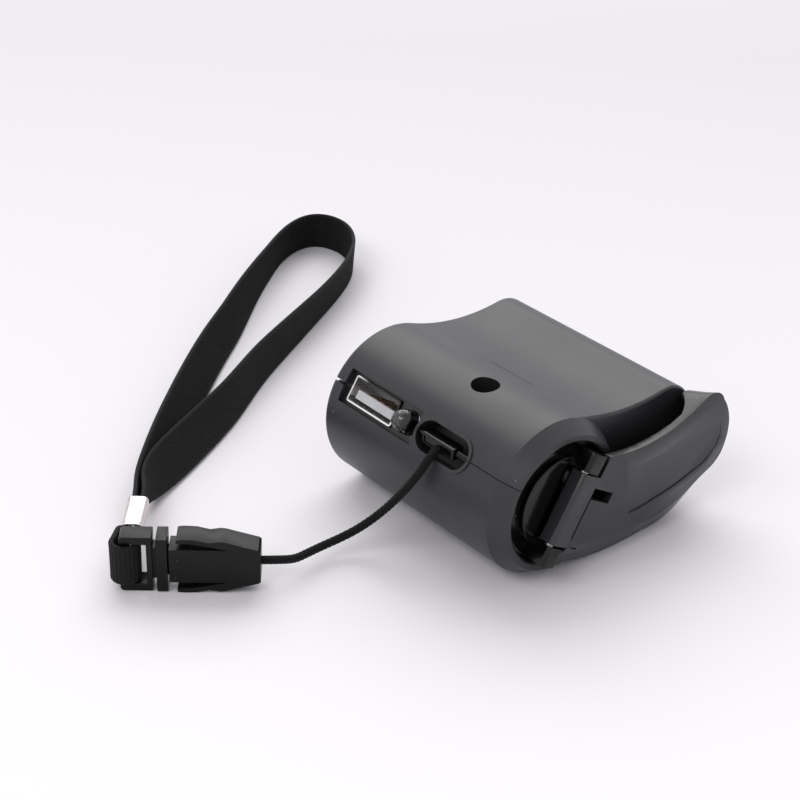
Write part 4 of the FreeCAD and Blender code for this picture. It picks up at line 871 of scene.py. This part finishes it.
nodeFinish = {
    "charcoal": ["upper_shell", "lower_shell"],
    "crankBlack": ["crank_knob"],
    "blackScrew": ["shell_screws"],
    "brightSteel": ["hinge_pin", "knob_pin", "drive_shaft", "shaft_clip", "counter_pin", "plate_screws",
                    "rotor_shaft", "generator_screws", "led_leads"],
    "bushBrass": ["front_bush", "rear_bush"],
    "gearWhite": ["drive_gear", "compound_gear"],
    "gearBlack": ["motor_pinion"],
    "plateGrey": ["gear_plate"],
    "canZinc": ["generator_can"],
    "ferrite": ["generator_magnets"],
    "copper": ["generator_rotor", "storage_coil"],
    "partBlack": ["generator_cap", "capacitor", "regulator_chip", "rectifier_diodes"],
    "gold": ["generator_terminals", "usb_contacts"],
    "wireRed": ["generator_wires"],
    "boardGreen": ["circuit_board"],
    "nickel": ["usb_shell"],
    "tongueGrey": ["usb_tongue"],
}
pieceFinish = {
    "strapWeave": [wristStrap, strapTab],
    "cordBraid": [lanyardCord],
    "acetalBlack": [bucklePlug, buckleSocket],
    "crankBlack": [crankArm],
    "hubBlack": [crankHub, lanyardBlock],
    "crimpChrome": [strapCrimp],
    "lampClear": [lampLens],
    "brightSteel": [lampCup],
}


def dress(obj, material):
    obj.data.materials.clear()
    obj.data.materials.append(material)


for finish, names in nodeFinish.items():
    for name in names:
        node = frame["nodes"][name]
        if len(node.data.materials):
            node.data.materials[0] = materials[finish]
        else:
            node.data.materials.append(materials[finish])
for finish, pieces in pieceFinish.items():
    for piece in pieces:
        dress(piece, materials[finish])
crankArm.data.materials.append(materials["hubBlack"])
print("charger: materials done")


# Studio: pale floor, white surroundings for the camera, and softboxes that draw the gloss
studio = {
    "floorSize": 3.0,
    "floorColour": (0.96, 0.935, 0.955),
    "paintedShadeColour": (0.74, 0.725, 0.755),  # painted shade: the floor's colour darkens towards the overhead light, evening out its pool of light
    "floorAxis": (-0.75, 0.66, 0.0),
    "floorReach": (-0.10, 0.28),
    "shownColour": (0.965, 0.955, 0.985),
    "shownLevel": 1.0,
    "fillLevel": 0.55,
    "softboxes": [
        {"name": "overhead", "place": (-0.90, 0.70, 1.30), "size": (2.0, 1.5), "power": 21.0},
        {"name": "front", "place": (0.10, -1.10, 1.20), "size": (1.0, 0.5), "power": 6.0},
    ],
}


def addFloor(look):
    half = look["floorSize"] / 2
    floor = addMesh("studioFloor", [(-half, -half, 0), (half, -half, 0), (half, half, 0), (-half, half, 0)],
                    [(0, 1, 2, 3)], smooth=False)
    material, tree, shader, coords = newMaterial("floorPaper")
    grain = placeGroup(tree, grainGroup, coords.outputs["Object"], Grain=900.0, Depth=0.05, Roughness=0.85,
                       Drift=0.05)
    tree.links.new(grain.outputs["Roughness"], shader.inputs["Roughness"])
    # painted shade: the floor's colour ramps to a darker colour on the side of the overhead light
    across = addNode(tree, "ShaderNodeVectorMath", operation="DOT_PRODUCT")
    tree.links.new(coords.outputs["Object"], across.inputs[0])
    across.inputs[1].default_value = look["floorAxis"]
    ramp = addNode(tree, "ShaderNodeMapRange")
    ramp.inputs[1].default_value, ramp.inputs[2].default_value = look["floorReach"]
    tree.links.new(across.outputs["Value"], ramp.inputs[0])
    near = tree.nodes.new("ShaderNodeRGB")
    near.outputs[0].default_value = (*look["floorColour"], 1)
    tree.links.new(overlay(tree, near.outputs[0], ramp.outputs[0], look["paintedShadeColour"]), shader.inputs["Base Color"])
    shader.inputs["Specular IOR Level"].default_value = 0.1
    dress(floor, material)


def addWorld(look):
    world = bpy.data.worlds.new("studioWorld")
    bpy.context.scene.world = world
    world.use_nodes = True
    tree = world.node_tree
    background = tree.nodes["Background"]
    background.inputs["Color"].default_value = (*look["shownColour"], 1)
    rays = tree.nodes.new("ShaderNodeLightPath")
    seen = addNode(tree, "ShaderNodeMath", operation="MAXIMUM")
    tree.links.new(rays.outputs["Is Camera Ray"], seen.inputs[0])
    tree.links.new(rays.outputs["Is Glossy Ray"], seen.inputs[1])
    clear = addNode(tree, "ShaderNodeMath", operation="MAXIMUM")
    tree.links.new(seen.outputs[0], clear.inputs[0])
    tree.links.new(rays.outputs["Is Transmission Ray"], clear.inputs[1])
    level = addNode(tree, "ShaderNodeMapRange")
    tree.links.new(clear.outputs[0], level.inputs[0])
    level.inputs[3].default_value = look["fillLevel"]
    level.inputs[4].default_value = look["shownLevel"]
    tree.links.new(level.outputs[0], background.inputs["Strength"])


def addSoftbox(box):
    data = bpy.data.lights.new(box["name"], "AREA")
    data.shape = "RECTANGLE"
    data.size, data.size_y = box["size"]
    data.energy = box["power"]
    light = bpy.data.objects.new(box["name"], data)
    light.location = box["place"]
    light.rotation_euler = (Vector((0, -0.01, 0.01)) - light.location).to_track_quat("-Z", "Y").to_euler()
    bpy.context.scene.collection.objects.link(light)


addFloor(studio)
addWorld(studio)
for softbox in studio["softboxes"]:
    addSoftbox(softbox)
bpy.context.scene.view_settings.view_transform = "Standard"
print("charger: studio done")
